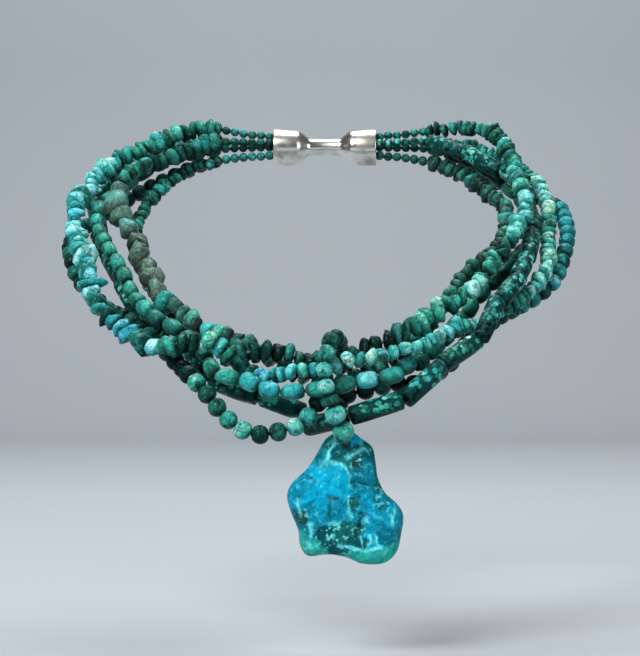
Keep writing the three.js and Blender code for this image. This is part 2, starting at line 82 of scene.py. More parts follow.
# Points that each string follows, in millimetres, from the left cup round the front to the right cup.
ROUTES = {
    "nugget": [
        (-43, 60, 36), (-60, 48, 31), (-75, 34, 22), (-84, 18, 12), (-86, 4, 2), (-83, -11, -12),
        (-78, -22, -23), (-71, -33, -32), (-63, -44, -39), (-54, -54, -43), (-46, -61, -44),
        (-37, -66, -44), (-29, -68, -46), (-19, -69, -46), (-8, -68, -48), (1, -66, -48),
        (9, -66, -45), (17, -65, -42), (28, -60, -37), (39, -52, -31), (46, -45, -25), (53, -38, -19),
        (58, -30, -13), (65, -18, -3), (68, -6, 6), (67, 8, 15), (65, 28, 24), (58, 44, 32),
        (43, 60, 36),
    ],
    "small": [
        (-42, 56, 24), (-55, 46, 17), (-63, 32, 8), (-66, 18, -2), (-65, 6, -11), (-61, -6, -20),
        (-57, -14, -25), (-52, -24, -31), (-43, -38, -38), (-34, -51, -45), (-27, -60, -49),
        (-20, -68, -51), (-12, -73, -51), (1, -73, -49), (12, -73, -47), (24, -70, -45),
        (30, -67, -43), (36, -62, -40), (42, -55, -37), (49, -46, -37), (55, -40, -32), (61, -36, -29),
        (66, -31, -26), (71, -25, -22), (75, -14, -15), (76, -3, -8), (77, 10, 2), (76, 26, 12),
        (65, 49, 25), (44, 65, 32),
    ],
    "oval": [
        (-43, 60, 29), (-60, 48, 23), (-74, 34, 12), (-78, 21, 6), (-78, 10, 0), (-73, -5, -8),
        (-67, -20, -19), (-62, -32, -28), (-56, -43, -34), (-48, -51, -40), (-41, -58, -46),
        (-35, -67, -50), (-28, -71, -52), (-21, -73, -54), (-13, -75, -55), (-5, -75, -56),
        (1, -75, -56), (10, -73, -53), (17, -72, -52), (23, -70, -50), (30, -61, -48), (38, -50, -40),
        (46, -41, -32), (52, -34, -25), (59, -25, -19), (65, -10, -13), (71, 5, -7), (74, 20, 0),
        (69, 35, 10), (58, 50, 21), (43, 60, 29),
    ],
    "round": [
        (-44, 64, 24), (-63, 53, 15), (-80, 38, 4), (-87, 20, -3), (-88, 5, -10), (-84, -9, -17),
        (-74, -22, -29), (-64, -33, -34), (-55, -43, -39), (-47, -54, -45), (-43, -60, -48),
        (-41, -64, -51), (-38, -68, -56), (-35, -70, -60), (-32, -72, -64), (-28, -73, -67),
        (-25, -74, -69), (-20, -74, -70), (-14, -74, -69), (-8, -73, -67), (-4, -71, -64),
        (0, -69, -60), (6, -66, -58), (15, -66, -56), (23, -64, -54), (31, -61, -54), (39, -53, -47),
        (50, -40, -38), (60, -27, -32), (70, -18, -27), (78, -11, -20), (83, 2, -8), (84, 12, -1),
        (81, 26, 7), (65, 52, 16), (44, 64, 24),
    ],
    "tube": [
        (-43, 65, 32), (-63, 56, 26), (-79, 42, 15), (-81, 24, 1), (-76, 8, -10), (-70, -8, -19),
        (-63, -22, -30), (-54, -34, -36), (-48, -43, -41), (-41, -51, -46), (-35, -57, -51),
        (-28, -61, -55), (-20, -65, -58), (-14, -65, -61), (-8, -65, -63), (0, -67, -66),
        (8, -71, -64), (15, -72, -62), (23, -70, -59), (30, -68, -53), (37, -65, -47), (43, -60, -42),
        (49, -54, -37), (55, -47, -30), (61, -37, -21), (67, -22, -13), (70, -8, -5), (71, 8, 4),
        (70, 26, 15), (58, 41, 25), (43, 55, 31),
    ],
    "chip": [
        (-42, 55, 31), (-57, 42, 24), (-69, 29, 18), (-74, 14, 8), (-71, 4, 0), (-66, -6, -9),
        (-60, -17, -18), (-55, -28, -27), (-48, -38, -34), (-39, -50, -38), (-30, -57, -42),
        (-21, -60, -45), (-10, -61, -50), (-2, -61, -53), (6, -61, -53), (14, -61, -50),
        (20, -60, -47), (30, -54, -42), (40, -43, -29), (50, -33, -18), (58, -18, -10), (62, -6, -3),
        (63, 8, 3), (62, 20, 7), (59, 31, 11), (53, 44, 17), (41, 56, 23),
    ],
}

# Half width of each string, the room its long beads need in a bend, and where it enters the left and the
# right cup: a turn about the cup's axis in degrees, or None for its middle.
STRINGS = {
    "nugget": {"radius": 3.3, "bend": 0.5, "left": 90, "right": 90},
    "small": {"radius": 2.7, "bend": 0.4, "left": -126, "right": 18},
    "oval": {"radius": 2.7, "bend": 0.1, "left": None, "right": None},
    "round": {"radius": 2.8, "bend": 0.05, "left": -54, "right": -54},
    "tube": {"radius": 3.1, "bend": 0.8, "left": 18, "right": 162},
    "chip": {"radius": 3.1, "bend": 0.3, "left": 162, "right": -126},
}

# Stretches where a string's stones are bigger: shares of its length and the half width there.
SWELLS = {
    "nugget": {"begin": 0.15, "end": 0.37, "radius": 3.7},
    "chip": {"begin": 0.18, "end": 0.35, "radius": 4.2},
}
SWELL_EASE = 0.02

# How the strings are kept apart, as in the solids.
CLEARANCE = 0.3
SETTLE_ALLOWANCE = 0.35
SAMPLE_STEP = 2.5
SETTLE_ROUNDS = 400
PUSH_SHARE = 0.35
EVEN_SHARE = 0.22
CANDIDATE_REACH = 26.0
BAIL_SAMPLES = 36

END_RUN = 26.0
END_RADIUS = 1.6
END_BEAD_LENGTH = 3.25
THREAD_RADIUS = 0.6
WRAPPED_RADIUS = 1.2

CLASP_HALF_LENGTH = 19.0
CLASP_Y = 62.0
CLASP_Z = 30.0
CLASP_WAIST_RADIUS = 3.2
CUP_RADIUS = 6.1
CUP_WALL = 0.9
CUP_DEPTH = 7.0
CUP_LEAD = 4.0
CUP_SHOULDER = 7.0
CUP_FLARE = 5.5
CUP_FLARE_DROP = 0.5
CUP_FILLET = 0.9
CUP_FLOOR_HOLE = 0.3
END_RING_RADIUS = 3.7

BAIL_BEAD_DIAMETER = 5.6
BAIL_FIRST_RISE = 3.6
BAIL_LEAN = 0.7
SLAB_WIDTH = 36.0
SLAB_HEIGHT = 41.5
SLAB_THICKNESS = 6.0
SLAB_HOLE_RADIUS = 1.3
SLAB_CENTRE_Y = -71.5
HOLE_X = 6.2
HOLE_Z = -72.3

# Camera: level, straight on, in millimetres; the picture is 640 x 656 points.
CAMERA_PLACE = (-1.7, -762.0, -37.0)
CAMERA_FOCAL_POINTS = 2222
PICTURE_WIDTH = 640


def colour_property(name, description, colour):
    """A colour of the sidebar, as red, green and blue from 0 to 1."""
    return FloatVectorProperty(
        name=name, description=description, subtype="COLOR", size=3, min=0, max=1, default=colour)


class NecklaceStones(PropertyGroup):
    """Colours of the beads, nuggets and chips, and how rough their polish is."""

    black: colour_property("Black stone", "Matrix so dense that it is nearly black", (0.001, 0.006, 0.006))
    deep: colour_property("Deep green", "The darkest green stones", (0.002, 0.032, 0.030))
    green: colour_property("Green", "Stones between green and turquoise", (0.014, 0.120, 0.104))
    turquoise: colour_property("Turquoise", "The usual stone", (0.026, 0.310, 0.305))
    bright: colour_property("Bright turquoise", "The light, blue stones", (0.160, 0.530, 0.530))
    pale: colour_property("Pale mint", "The palest stones", (0.400, 0.720, 0.700))
    matrix: colour_property("Matrix", "Dark veins in the beads", (0.002, 0.010, 0.008))
    milky: colour_property("Milky grey", "Grey-green of the flat translucent chips", (0.150, 0.180, 0.150))
    gloss: FloatProperty(
        name="Polish roughness", description="Roughness of the polished stone",
        subtype="FACTOR", min=0, max=1, default=0.30)


class NecklaceSlab(PropertyGroup):
    """Colours of the polished slab."""

    azure: colour_property("Azure", "The brightest blue stone", (0.001, 0.340, 0.540))
    ocean: colour_property("Ocean", "Middle blue stone", (0.001, 0.235, 0.375))
    teal: colour_property("Teal", "Blue-green stone", (0.001, 0.150, 0.215))
    deep: colour_property("Deep teal", "Darkest blue-green stone", (0.001, 0.068, 0.085))
    moss: colour_property("Moss", "Dark green stone with matrix", (0.006, 0.120, 0.115))
    mint: colour_property("Mint", "Green turquoise of the lower rim", (0.020, 0.370, 0.320))
    # Pale seam: the painted highlights along the slab's raised ridges, and also its pale grain flecks.
    pale: colour_property("Pale seam", "Light seams between patches", (0.130, 0.750, 0.800))
    brown: colour_property("Brown", "Brown-green host rock", (0.020, 0.050, 0.038))
    black: colour_property("Black", "Slits and specks", (0.004, 0.012, 0.013))


class NecklaceSizes(PropertyGroup):
    """Sizes that the solids leave open."""

    thread: FloatProperty(
        name="Thread radius", description="Half the thickness of the thread inside the beads",
        unit="LENGTH", subtype="DISTANCE", min=0.0001, max=0.001, default=THREAD_RADIUS * MM)
    ripple: FloatProperty(
        name="Slab ripple", description="Height of the polished ripples on the front of the slab",
        unit="LENGTH", subtype="DISTANCE", min=0.0, max=0.001, default=0.0005)
    seed: IntProperty(
        name="Seed", description="Starts the repeatable choice of stone sizes and tones",
        min=1, max=9999, default=7)


class NecklaceStage(PropertyGroup):
    """Floor and light of the picture."""

    floor_drop: FloatProperty(
        name="Floor below", description="How far the floor lies below the pendant",
        unit="LENGTH", subtype="DISTANCE", min=0.0, max=1.0, default=0.03)
    key_power: FloatProperty(
        name="Key light", description="Power of the main soft light", unit="POWER",
        min=0, max=200, default=22)
    world: FloatProperty(
        name="World light", description="Strength of the even light from all round",
        min=0, max=5, default=0.10)


# Lines that the strings follow.


def catmull_rom(points, at, closed=False):
    """Points of a uniform Catmull-Rom curve: in the span between two points it is the cubic whose end
    slopes are half the difference of the neighbours. Past an open end the neighbour is mirrored."""
    points = np.asarray(points, float)
    count = len(points)
    if closed:
        span = np.floor(at).astype(int) % count
        share = at - np.floor(at)
        before, first, second, after = (points[(span + k) % count] for k in (-1, 0, 1, 2))
    else:
        padded = np.vstack([2 * points[0] - points[1], points, 2 * points[-1] - points[-2]])
        span = np.minimum(np.floor(at).astype(int), count - 2)
        share = at - span
        before, first, second, after = (padded[span + k] for k in range(4))
    share = share[:, None]
    slope_in, slope_out = (second - before) / 2, (after - first) / 2
    cubic = 2 * first - 2 * second + slope_in + slope_out
    square = -3 * first + 3 * second - 2 * slope_in - slope_out
    return ((cubic * share + square) * share + slope_in) * share + first


def running_length(points):
    """Distance along a polyline at each of its points."""
    steps = np.linalg.norm(np.diff(points, axis=0), axis=1)
    return np.concatenate([[0.0], np.cumsum(steps)])


def along_polyline(points, distances, reach=None):
    """Points at given distances along a polyline, held at its ends."""
    reach = running_length(points) if reach is None else reach
    return np.stack([np.interp(distances, reach, points[:, k]) for k in range(3)], axis=-1)


def even_points(points, step):
    """Evenly spaced points along the smooth curve through the given ones."""
    divisions = len(points) * 24
    fine = catmull_rom(points, np.arange(divisions + 1) / divisions * (len(points) - 1))
    total = running_length(fine)[-1]
    count = math.floor(total / step + 0.5)
    return along_polyline(fine, total * np.arange(count + 1) / count)


def unit(vectors):
    """Each vector divided by its length."""
    return vectors / np.linalg.norm(vectors, axis=-1, keepdims=True)


def cup_points(side, seat):
    """Where a string enters the cup on one side: the cup's floor, its mouth and just outside."""
    turn = math.radians(seat or 0)
    off = 0 if seat is None else END_RING_RADIUS
    y, z = CLASP_Y + off * math.cos(turn), CLASP_Z + off * math.sin(turn)
    floor = CLASP_HALF_LENGTH - CUP_DEPTH + CLEARANCE
    return [(side * x, y, z) for x in (floor, CLASP_HALF_LENGTH, CLASP_HALF_LENGTH + CUP_LEAD)]


def full_half_width(name, share):
    """Half width between the end runs, at a share of the string's length."""
    radius = STRINGS[name]["radius"]
    if name not in SWELLS:
        return np.full(np.shape(share), radius)
    swell = SWELLS[name]
    inside = np.clip(np.minimum(share - swell["begin"], swell["end"] - share) / SWELL_EASE, 0, 1)
    return radius + (swell["radius"] - radius) * inside


def half_width(name, at, total):
    """Half width of a string at a distance from its left end: thin in the end runs, full between them."""
    share = np.clip((np.minimum(at, total - at) - END_RUN * 0.6) / (END_RUN * 0.8), 0, 1)
    return END_RADIUS + (full_half_width(name, at / total) - END_RADIUS) * share


def bail_route():
    """Points of the bead loop: from the slab's hole up the front, over the strings and down behind them."""
    face = SLAB_THICKNESS / 2 + BAIL_BEAD_DIAMETER / 2
    return [
        (HOLE_X, SLAB_CENTRE_Y, HOLE_Z),
        (HOLE_X, SLAB_CENTRE_Y - SLAB_THICKNESS / 2, HOLE_Z + 0.2),
        (HOLE_X - BAIL_LEAN, SLAB_CENTRE_Y - face - 1.1, HOLE_Z + BAIL_FIRST_RISE),
        (3, -80.5, -63.5), (0.8, -81, -57.5), (-0.4, -80.8, -51), (0.4, -78.5, -45),
        (1.8, -73, -40.6), (4, -66, -40.6), (5, -57, -44.8), (5, -53.8, -52), (5, -55, -59),
        (5.4, -59.5, -65),
        (HOLE_X, SLAB_CENTRE_Y + face + 1.6, HOLE_Z + 2.6),
        (HOLE_X, SLAB_CENTRE_Y + SLAB_THICKNESS / 2, HOLE_Z + 0.2),
    ]


@lru_cache(maxsize=None)
def bail_line():
    """The bead loop as a closed polyline, starting in the slab's hole."""
    route = bail_route()
    return catmull_rom(route, np.linspace(0, len(route), 601), closed=True)


def summed(owners, pushes, count):
    """The sum of the pushes that each point gets."""
    return np.stack([np.bincount(owners, pushes[:, k], count) for k in range(3)], axis=1)


@lru_cache(maxsize=None)
def settled_lines():
    """Middle line of every string after strings that lie too close have pushed each other apart. In each
    round a point moves by a share of every overlap, and neighbouring moves are evened out. The bead loop
    and the string ends stay where they are."""
    names = list(ROUTES)
    lines, radii, free = [], [], []
    for name in names:
        ends = STRINGS[name]
        route = cup_points(-1, ends["left"]) + ROUTES[name] + cup_points(1, ends["right"])[::-1]
        line = even_points(route, SAMPLE_STEP)
        at = np.arange(len(line)) * SAMPLE_STEP
        lines.append(line)
        radii.append(half_width(name, at, at[-1]) + ends["bend"])
        free.append(np.minimum(at, at[-1] - at) > CUP_DEPTH + 1)
    bail = bail_line()
    lines.append(along_polyline(bail, running_length(bail)[-1] * np.arange(BAIL_SAMPLES) / BAIL_SAMPLES))
    radii.append(np.full(BAIL_SAMPLES, BAIL_BEAD_DIAMETER / 2))
    free.append(np.zeros(BAIL_SAMPLES, bool))

    owner = np.repeat(np.arange(len(lines)), [len(line) for line in lines])
    points, radii, free = np.concatenate(lines), np.concatenate(radii), np.concatenate(free)
    first, second = np.triu_indices(len(points), 1)
    near = np.linalg.norm(points[first] - points[second], axis=1) < CANDIDATE_REACH
    near &= (owner[first] != owner[second]) & (free[first] | free[second])
    first, second = first[near], second[near]
    room = radii[first] + radii[second] + CLEARANCE + SETTLE_ALLOWANCE
    inner = np.zeros(len(points), bool)
    inner[1:-1] = (owner[1:-1] == owner[:-2]) & (owner[1:-1] == owner[2:])
    for _ in range(SETTLE_ROUNDS):
        apart = points[first] - points[second]
        distance = np.linalg.norm(apart, axis=1)
        hit = distance < room
        push = apart[hit] * (PUSH_SHARE * (room[hit] - distance[hit]) / distance[hit])[:, None]
        shift = summed(first[hit], push, len(points)) - summed(second[hit], push, len(points))
        evened = shift.copy()
        middle = (shift[:-2] + shift[2:]) / 2
        evened[1:-1] += 2 * EVEN_SHARE * np.where(inner[1:-1, None], middle - shift[1:-1], 0)
        points = points + np.where(free[:, None], evened, 0)
    return {name: points[owner == k] for k, name in enumerate(names)}


class StringLine:
    """A string's middle line by distance, with a frame that faces away from the neck."""

    def __init__(self, points, closed=False):
        parted = closed and np.any(points[0] != points[-1])
        self.points = np.vstack([points, points[:1]]) if parted else points
        self.reach = running_length(self.points)
        self.length = self.reach[-1]
        self.closed = closed

    def at(self, distance):
        wanted = np.mod(distance, self.length) if self.closed else distance
        return along_polyline(self.points, wanted, self.reach)

    def frames(self, distance, step=SAMPLE_STEP):
        """Places and unit directions: along the string, away from the neck, and the third square to both."""
        place = self.at(distance)
        along = unit(self.at(distance + step) - self.at(distance - step))
        if self.closed:
            away = np.broadcast_to([1.0, 0.0, 0.0], along.shape)
        else:
            away = unit(place * [1.0, 1.0, 0.0])
        out = unit(away - np.sum(away * along, axis=1, keepdims=True) * along)
        return place, along, out, np.cross(along, out)


# Meshes.


def make_mesh(name, points, faces, attributes=(), smooth=True):
    """A mesh object from points in millimetres and a list of face arrays, each with one corner count.
    Attributes are (name, values): one number or three per point."""
    corners = np.concatenate([f.ravel() for f in faces])
    sizes = np.concatenate([np.full(len(f), f.shape[1]) for f in faces])
    mesh = bpy.data.meshes.new(name)
    mesh.vertices.add(len(points))
    mesh.vertices.foreach_set("co", (points * MM).astype(np.float32).ravel())
    mesh.loops.add(len(corners))
    mesh.loops.foreach_set("vertex_index", corners.astype(np.int32))
    mesh.polygons.add(len(sizes))
    starts = np.concatenate([[0], np.cumsum(sizes)[:-1]])
    mesh.polygons.foreach_set("loop_start", starts.astype(np.int32))
    mesh.polygons.foreach_set("use_smooth", np.full(len(sizes), smooth))
    mesh.update(calc_edges=True)
    for title, values in attributes:
        kind, field = ("FLOAT_VECTOR", "vector") if values.ndim == 2 else ("FLOAT", "value")
        layer = mesh.attributes.new(title, kind, "POINT")
        layer.data.foreach_set(field, values.astype(np.float32).ravel())
    piece = bpy.data.objects.new(name, mesh)
    bpy.context.scene.collection.objects.link(piece)
    return piece


def tube_faces(copies, rings, sides, looped=False):
    """Faces of rings of points: quads between neighbouring rings, and a flat end on each open tube."""
    band = rings if looped else rings - 1
    copy, ring, side = np.meshgrid(np.arange(copies), np.arange(band), np.arange(sides), indexing="ij")
    start = copy * rings * sides
    next_ring, next_side = (ring + 1) % rings, (side + 1) % sides
    quads = np.stack([
        start + ring * sides + side, start + ring * sides + next_side,
        start + next_ring * sides + next_side, start + next_ring * sides + side], axis=-1).reshape(-1, 4)
    if looped:
        return [quads]
    starts = np.arange(copies)[:, None] * rings * sides
    low = starts + np.arange(sides)[::-1]
    high = starts + (rings - 1) * sides + np.arange(sides)
    return [quads, low, high]


def swept_tube(line, distances, radii, sides, looped=False):
    """Points and faces of a tube along a line: circles of given radii square to it."""
    place, _, out, side = line.frames(distances)
    turn = 2 * np.pi * np.arange(sides) / sides
    ring = np.cos(turn)[:, None] * out[:, None] + np.sin(turn)[:, None] * side[:, None]
    points = place[:, None] + radii[:, None, None] * ring
    return points.reshape(-1, 3), tube_faces(1, len(distances), sides, looped)


# How much darker a stone is painted at its drilled ends, as painted shade where neighbouring stones meet, and
# how fast that fades towards its middle.
END_PAINTED_SHADE = 0.34
END_FADE = 5
# How near the first and last ring of a stone lie to its tips, as a share of the turn.
TIP_SHARE = 0.975
# Slow waves and flat cuts of a stone, and how much of what sticks out over a cut is ground away.
STONE_WAVES = 5
STONE_CUTS = 5
GROUND_SHARE = 0.9
# How far apart in the rock's pattern the stones are taken from, in millimetres.
STONE_APART = 400


def stone_mesh(name, beads, rings, sides, seed):
    """One mesh of many stones. Along its hole a stone is x = sin(t) and its radius there is
    (1 - |x|^q)^(1/q): q of 2 is a ball, 4 a barrel and 14 a cylinder. Round its hole it is a circle or,
    with a larger squareness m, a rounded square: the radius is divided by (|cos|^m + |sin|^m)^(1/m).
    A few slow waves over the directions swell and dent it, and up to five flat cuts grind it down."""
    rng = np.random.default_rng(seed)
    count = len(beads["place"])
    t = np.linspace(-TIP_SHARE, TIP_SHARE, rings) * np.pi / 2
    x = np.sin(t)
    q = beads["barrel"][:, None]
    r = (1 - np.abs(x) ** q) ** (1 / q)
    turn = 2 * np.pi * (np.arange(sides) + 0.5) / sides
    m = beads["square"][:, None]
    square = (np.abs(np.cos(turn)) ** m + np.abs(np.sin(turn)) ** m) ** (-1 / m)
    shape = np.stack(np.broadcast_arrays(
        x[None, :, None],
        r[:, :, None] * (np.cos(turn) * square)[:, None, :],
        r[:, :, None] * (np.sin(turn) * square)[:, None, :]), axis=-1)
    waves = rng.normal(0, 1.5, (count, STONE_WAVES, 3))
    phases = rng.uniform(0, 2 * np.pi, (count, STONE_WAVES))
    swell = np.sin(np.einsum("brsk,bwk->brsw", shape, waves) + phases[:, None, None, :]).mean(axis=-1)
    shape = shape * (1 + beads["lump"][:, None, None, None] * swell[..., None])
    for _ in range(STONE_CUTS):
        normal = unit(rng.normal(0, 1, (count, 3)) * [0.55, 1, 1])
        depth = 1 - beads["cut"] * rng.uniform(0.2, 1, count)
        over = np.einsum("brsk,bk->brs", shape, normal) - depth[:, None, None]
        shape = shape - np.maximum(over, 0)[..., None] * normal[:, None, None, :] * GROUND_SHARE
    local = shape * beads["half"][:, None, None, :]
    axes = np.stack([beads["along"], beads["out"], beads["side"]], axis=1)
    lean = rng.normal(0, 1, (count, 2)) * beads["lean"][:, None]
    axes[:, 0] = unit(axes[:, 0] + lean[:, :1] * axes[:, 1] + lean[:, 1:] * axes[:, 2])
    axes[:, 1] = unit(axes[:, 1] - np.sum(axes[:, 1] * axes[:, 0], axis=1, keepdims=True) * axes[:, 0])
    axes[:, 2] = np.cross(axes[:, 0], axes[:, 1])
    points = beads["place"][:, None, None] + np.einsum("brsk,bkj->brsj", local, axes)
    per_bead = rings * sides
    # Painted shade on the lower side: the tone falls towards each stone's bottom by its under share.
    down = -(points - beads["place"][:, None, None])[..., 2]
    below = np.clip(down / beads["half"][:, 2, None, None], 0, 1)
    # Painted shade at the drilled ends, where neighbouring stones meet.
    painted_end_shade = END_PAINTED_SHADE * np.abs(x[:, None]) ** END_FADE
    tone = beads["tone"][:, None, None] - painted_end_shade - beads["under"][:, None, None] * below
    stone = (local + rng.uniform(-STONE_APART, STONE_APART, (count, 1, 1, 3))).reshape(-1, 3)
    attributes = [("stone", stone), ("tone", tone.ravel())]
    attributes += [(title, np.repeat(beads[title], per_bead)) for title in ("web", "blue", "grey")]
    return make_mesh(name, points.reshape(-1, 3), tube_faces(count, rings, sides), attributes)


# Laying the stones along their strings.


def dice(seed):
    """Repeatable shares between 0 and 1, the same as in the solids."""
    state = seed
    while True:
        state = state * 16807 % 2147483647
        yield state / 2147483647


def lay_even(total, length, spread, seed):
    """Starts and lengths of one string's full-size beads between its end runs, as in the solids."""
    roll = dice(seed)
    middle = total - 2 * END_RUN
    lengths = []
    while sum(lengths) < middle - length / 2:
        lengths.append(length * (1 + spread * (2 * next(roll) - 1)))
    lengths = np.array(lengths) * middle / sum(lengths)
    return END_RUN + np.concatenate([[0], np.cumsum(lengths)[:-1]]), lengths


# A gap shorter than this is left at the end of a string of runs, in millimetres.
SHORTEST_STONE = 0.8


def lay_runs(total, runs, seed):
    """Stones of runs of different kinds: each run's stones go on until its share of the string is used.
    Returns the starts, the lengths and the run that each stone belongs to."""
    rng = np.random.default_rng(seed)
    at, starts, lengths, kinds = END_RUN, [], [], []
    last = total - END_RUN
    while at < last - SHORTEST_STONE:
        kind = next(k for k, run in enumerate(runs) if at < run["until"] * total or k == len(runs) - 1)
        low, high = runs[kind]["length"]
        length = min(rng.uniform(low, high), last - at)
        starts.append(at)
        lengths.append(length)
        kinds.append(kind)
        at += length
    return np.array(starts), np.array(lengths), np.array(kinds)


def planned(shares, plan, column):
    """A column of a plan at each stone's share of the string: straight between the plan's rows."""
    return np.interp(shares, column_of(plan, "share"), column_of(plan, column))


def end_beads(line):
    """Middles of the small round beads at both ends of a string."""
    count = round(END_RUN / END_BEAD_LENGTH)
    middles = (np.arange(count) + 0.5) * END_RUN / count
    return np.concatenate([middles, line.length - middles[::-1]])


# Looks of the small round beads in a string's end runs; under is the painted shade on their lower sides.
END_LOOKS = {
    "web": 0.5, "barrel": 2.1, "square": 2.0, "lump": 0.02, "cut": 0.0, "lean": 0.02, "blue": 0.4,
    "grey": 0.0, "under": 0.2,
}
# How far a stone may reach over its string's width, and the least room beside the thread in millimetres.
ROOM_SHARE = 1.08
LEAST_ROOM = 0.15


def string_beads(line, name, middles, lengths, looks, stray, seed):
    """Table of one string's stones, its small end beads among them. Looks are columns of the stones' own
    sizes and colours, and of the painted shade on their lower sides. Stray is how much of the room inside the
    string's width they use beside the thread."""
    ends = end_beads(line)
    count, extra = len(middles), len(ends)
    place, along, out, side = line.frames(np.concatenate([middles, ends]))
    full = full_half_width(name, middles / line.length)
    taper = half_width(name, middles, line.length) / full
    half_sizes = np.stack([looks["depth"], looks["width"]]) / 2
    room = np.maximum(ROOM_SHARE * full - half_sizes, LEAST_ROOM) * taper
    aside = (np.random.default_rng(seed + 50).uniform(-stray, stray, (2, count)) * room)[..., None]
    place[:count] += aside[0] * out[:count] + aside[1] * side[:count]

    def joined(values, end_value):
        return np.concatenate([np.broadcast_to(values, count), np.broadcast_to(end_value, extra)])

    half = np.stack([
        joined(lengths * 0.5, END_BEAD_LENGTH * 0.49),
        joined(looks["depth"] * 0.5 * taper, END_RADIUS),
        joined(looks["width"] * 0.5 * taper, END_RADIUS)], axis=1)
    beads = {"place": place, "along": along, "out": out, "side": side, "half": half}
    beads["tone"] = joined(looks["tone"], float(np.mean(looks["tone"])))
    for title, end_value in END_LOOKS.items():
        beads[title] = joined(looks[title], end_value)
    return beads


# Runs of like stones along the strings that aren't one kind of bead, from the left cup to the right one.
# until: share of the string where the run ends. length, width and depth: millimetres along the string,
# up and down at the front, and front to back. tone: 0 black to 1 palest. differ: how far stones stray from
# it. web: how much dark matrix. barrel: 2 a ball, 4 and more straight-sided. lean: tilt on the thread.
# blue: 0 the greenest, 1 the usual turquoise, more is bluer. grey: how milky, for the chips alone.
NUGGET_RUNS = table(
    "until length width depth tone differ web barrel lean blue",
    (0.145, (2.8, 4.2), (6.3, 8.5), (5.5, 7.0), 0.55, 0.14, 0.25, 2.5, 0.21, 0.40),
    (0.215, (2.4, 4.4), (5.8, 9.2), (5.6, 8.6), 0.74, 0.14, 0.25, 2.5, 0.42, 0.95),
    (0.340, (2.4, 4.4), (6.0, 9.4), (5.8, 8.8), 0.74, 0.14, 0.23, 2.5, 0.45, 1.00),
    (0.405, (3.0, 5.4), (6.2, 9.2), (5.6, 8.4), 0.60, 0.24, 0.30, 2.5, 0.36, 1.20),
    (0.494, (3.4, 5.0), (6.7, 8.7), (5.2, 6.4), 0.56, 0.26, 0.45, 2.5, 0.21, 0.30),
    (0.503, (4.0, 4.4), (6.9, 7.8), (5.8, 6.2), 0.04, 0.02, 0.30, 2.5, 0.09, 0.20),
    (0.552, (2.6, 3.8), (5.5, 7.2), (5.0, 6.0), 0.30, 0.18, 0.40, 2.5, 0.24, 0.20),
    (0.573, (3.6, 4.6), (6.1, 7.6), (5.4, 6.2), 0.07, 0.04, 0.35, 2.5, 0.24, 0.20),
    (0.655, (2.8, 4.8), (5.9, 8.1), (5.0, 6.4), 0.66, 0.20, 0.30, 2.5, 0.36, 0.40),
    (0.727, (2.6, 4.4), (5.7, 7.8), (5.0, 6.4), 0.58, 0.26, 0.35, 2.5, 0.33, 0.40),
    (0.737, (4.8, 5.0), (8.0, 8.7), (6.8, 7.0), 0.72, 0.02, 0.15, 2.5, 0.06, 1.00),
    (0.810, (2.8, 4.6), (6.1, 7.8), (5.4, 6.4), 0.64, 0.20, 0.30, 2.5, 0.27, 0.50),
    (1.000, (2.8, 4.4), (5.9, 7.6), (5.4, 6.4), 0.52, 0.18, 0.30, 2.5, 0.24, 0.40),
)
SMALL_RUNS = table(
    "until length width depth tone differ web barrel lean blue",
    (0.415, (2.6, 4.2), (4.8, 6.2), (4.6, 5.6), 0.46, 0.20, 0.42, 2.4, 0.22, 0.40),
    (0.465, (2.4, 3.8), (4.6, 6.4), (4.4, 5.4), 0.74, 0.08, 0.36, 2.2, 0.28, 1.20),
    (0.580, (2.8, 4.4), (5.0, 6.8), (4.6, 5.8), 0.76, 0.14, 0.48, 2.2, 0.34, 0.70),
    (0.625, (2.8, 4.0), (4.6, 6.2), (4.4, 5.4), 0.60, 0.20, 0.48, 2.4, 0.28, 0.40),
    (0.850, (2.8, 4.2), (5.6, 6.6), (5.4, 6.2), 0.80, 0.14, 0.36, 2.4, 0.20, 0.40),
    (1.000, (2.2, 3.2), (4.6, 5.9), (4.4, 5.4), 0.55, 0.20, 0.36, 2.4, 0.17, 0.40),
)
CHIP_RUNS = table(
    "until length width depth tone differ web barrel lean blue grey",
    (0.180, (3.0, 5.0), (5.7, 7.3), (5.0, 6.2), 0.40, 0.14, 0.42, 3.2, 0.14, 0.40, 0.00),
    (0.245, (6.4, 9.0), (7.6, 9.4), (7.2, 8.8), 0.54, 0.08, 0.54, 3.4, 0.20, 0.30, 0.55),
    (0.332, (6.0, 9.0), (7.4, 9.4), (7.0, 8.8), 0.44, 0.08, 0.60, 3.4, 0.20, 0.20, 0.80),
    (0.349, (6.8, 7.2), (7.8, 8.4), (7.0, 7.2), 0.52, 0.04, 0.24, 2.1, 0.04, 0.45, 0.00),
    (0.404, (3.6, 5.6), (5.9, 7.5), (5.2, 6.4), 0.40, 0.16, 0.48, 2.8, 0.18, 0.40, 0.25),
    (0.416, (4.9, 5.1), (5.7, 6.2), (5.2, 5.4), 0.78, 0.02, 0.12, 5.0, 0.06, 1.30, 0.00),
    (0.600, (3.2, 5.0), (5.5, 7.3), (5.0, 6.2), 0.46, 0.18, 0.48, 2.8, 0.16, 0.40, 0.10),
    (1.000, (3.0, 5.0), (5.5, 7.0), (5.0, 6.2), 0.38, 0.18, 0.48, 3.0, 0.16, 0.35, 0.10),
)

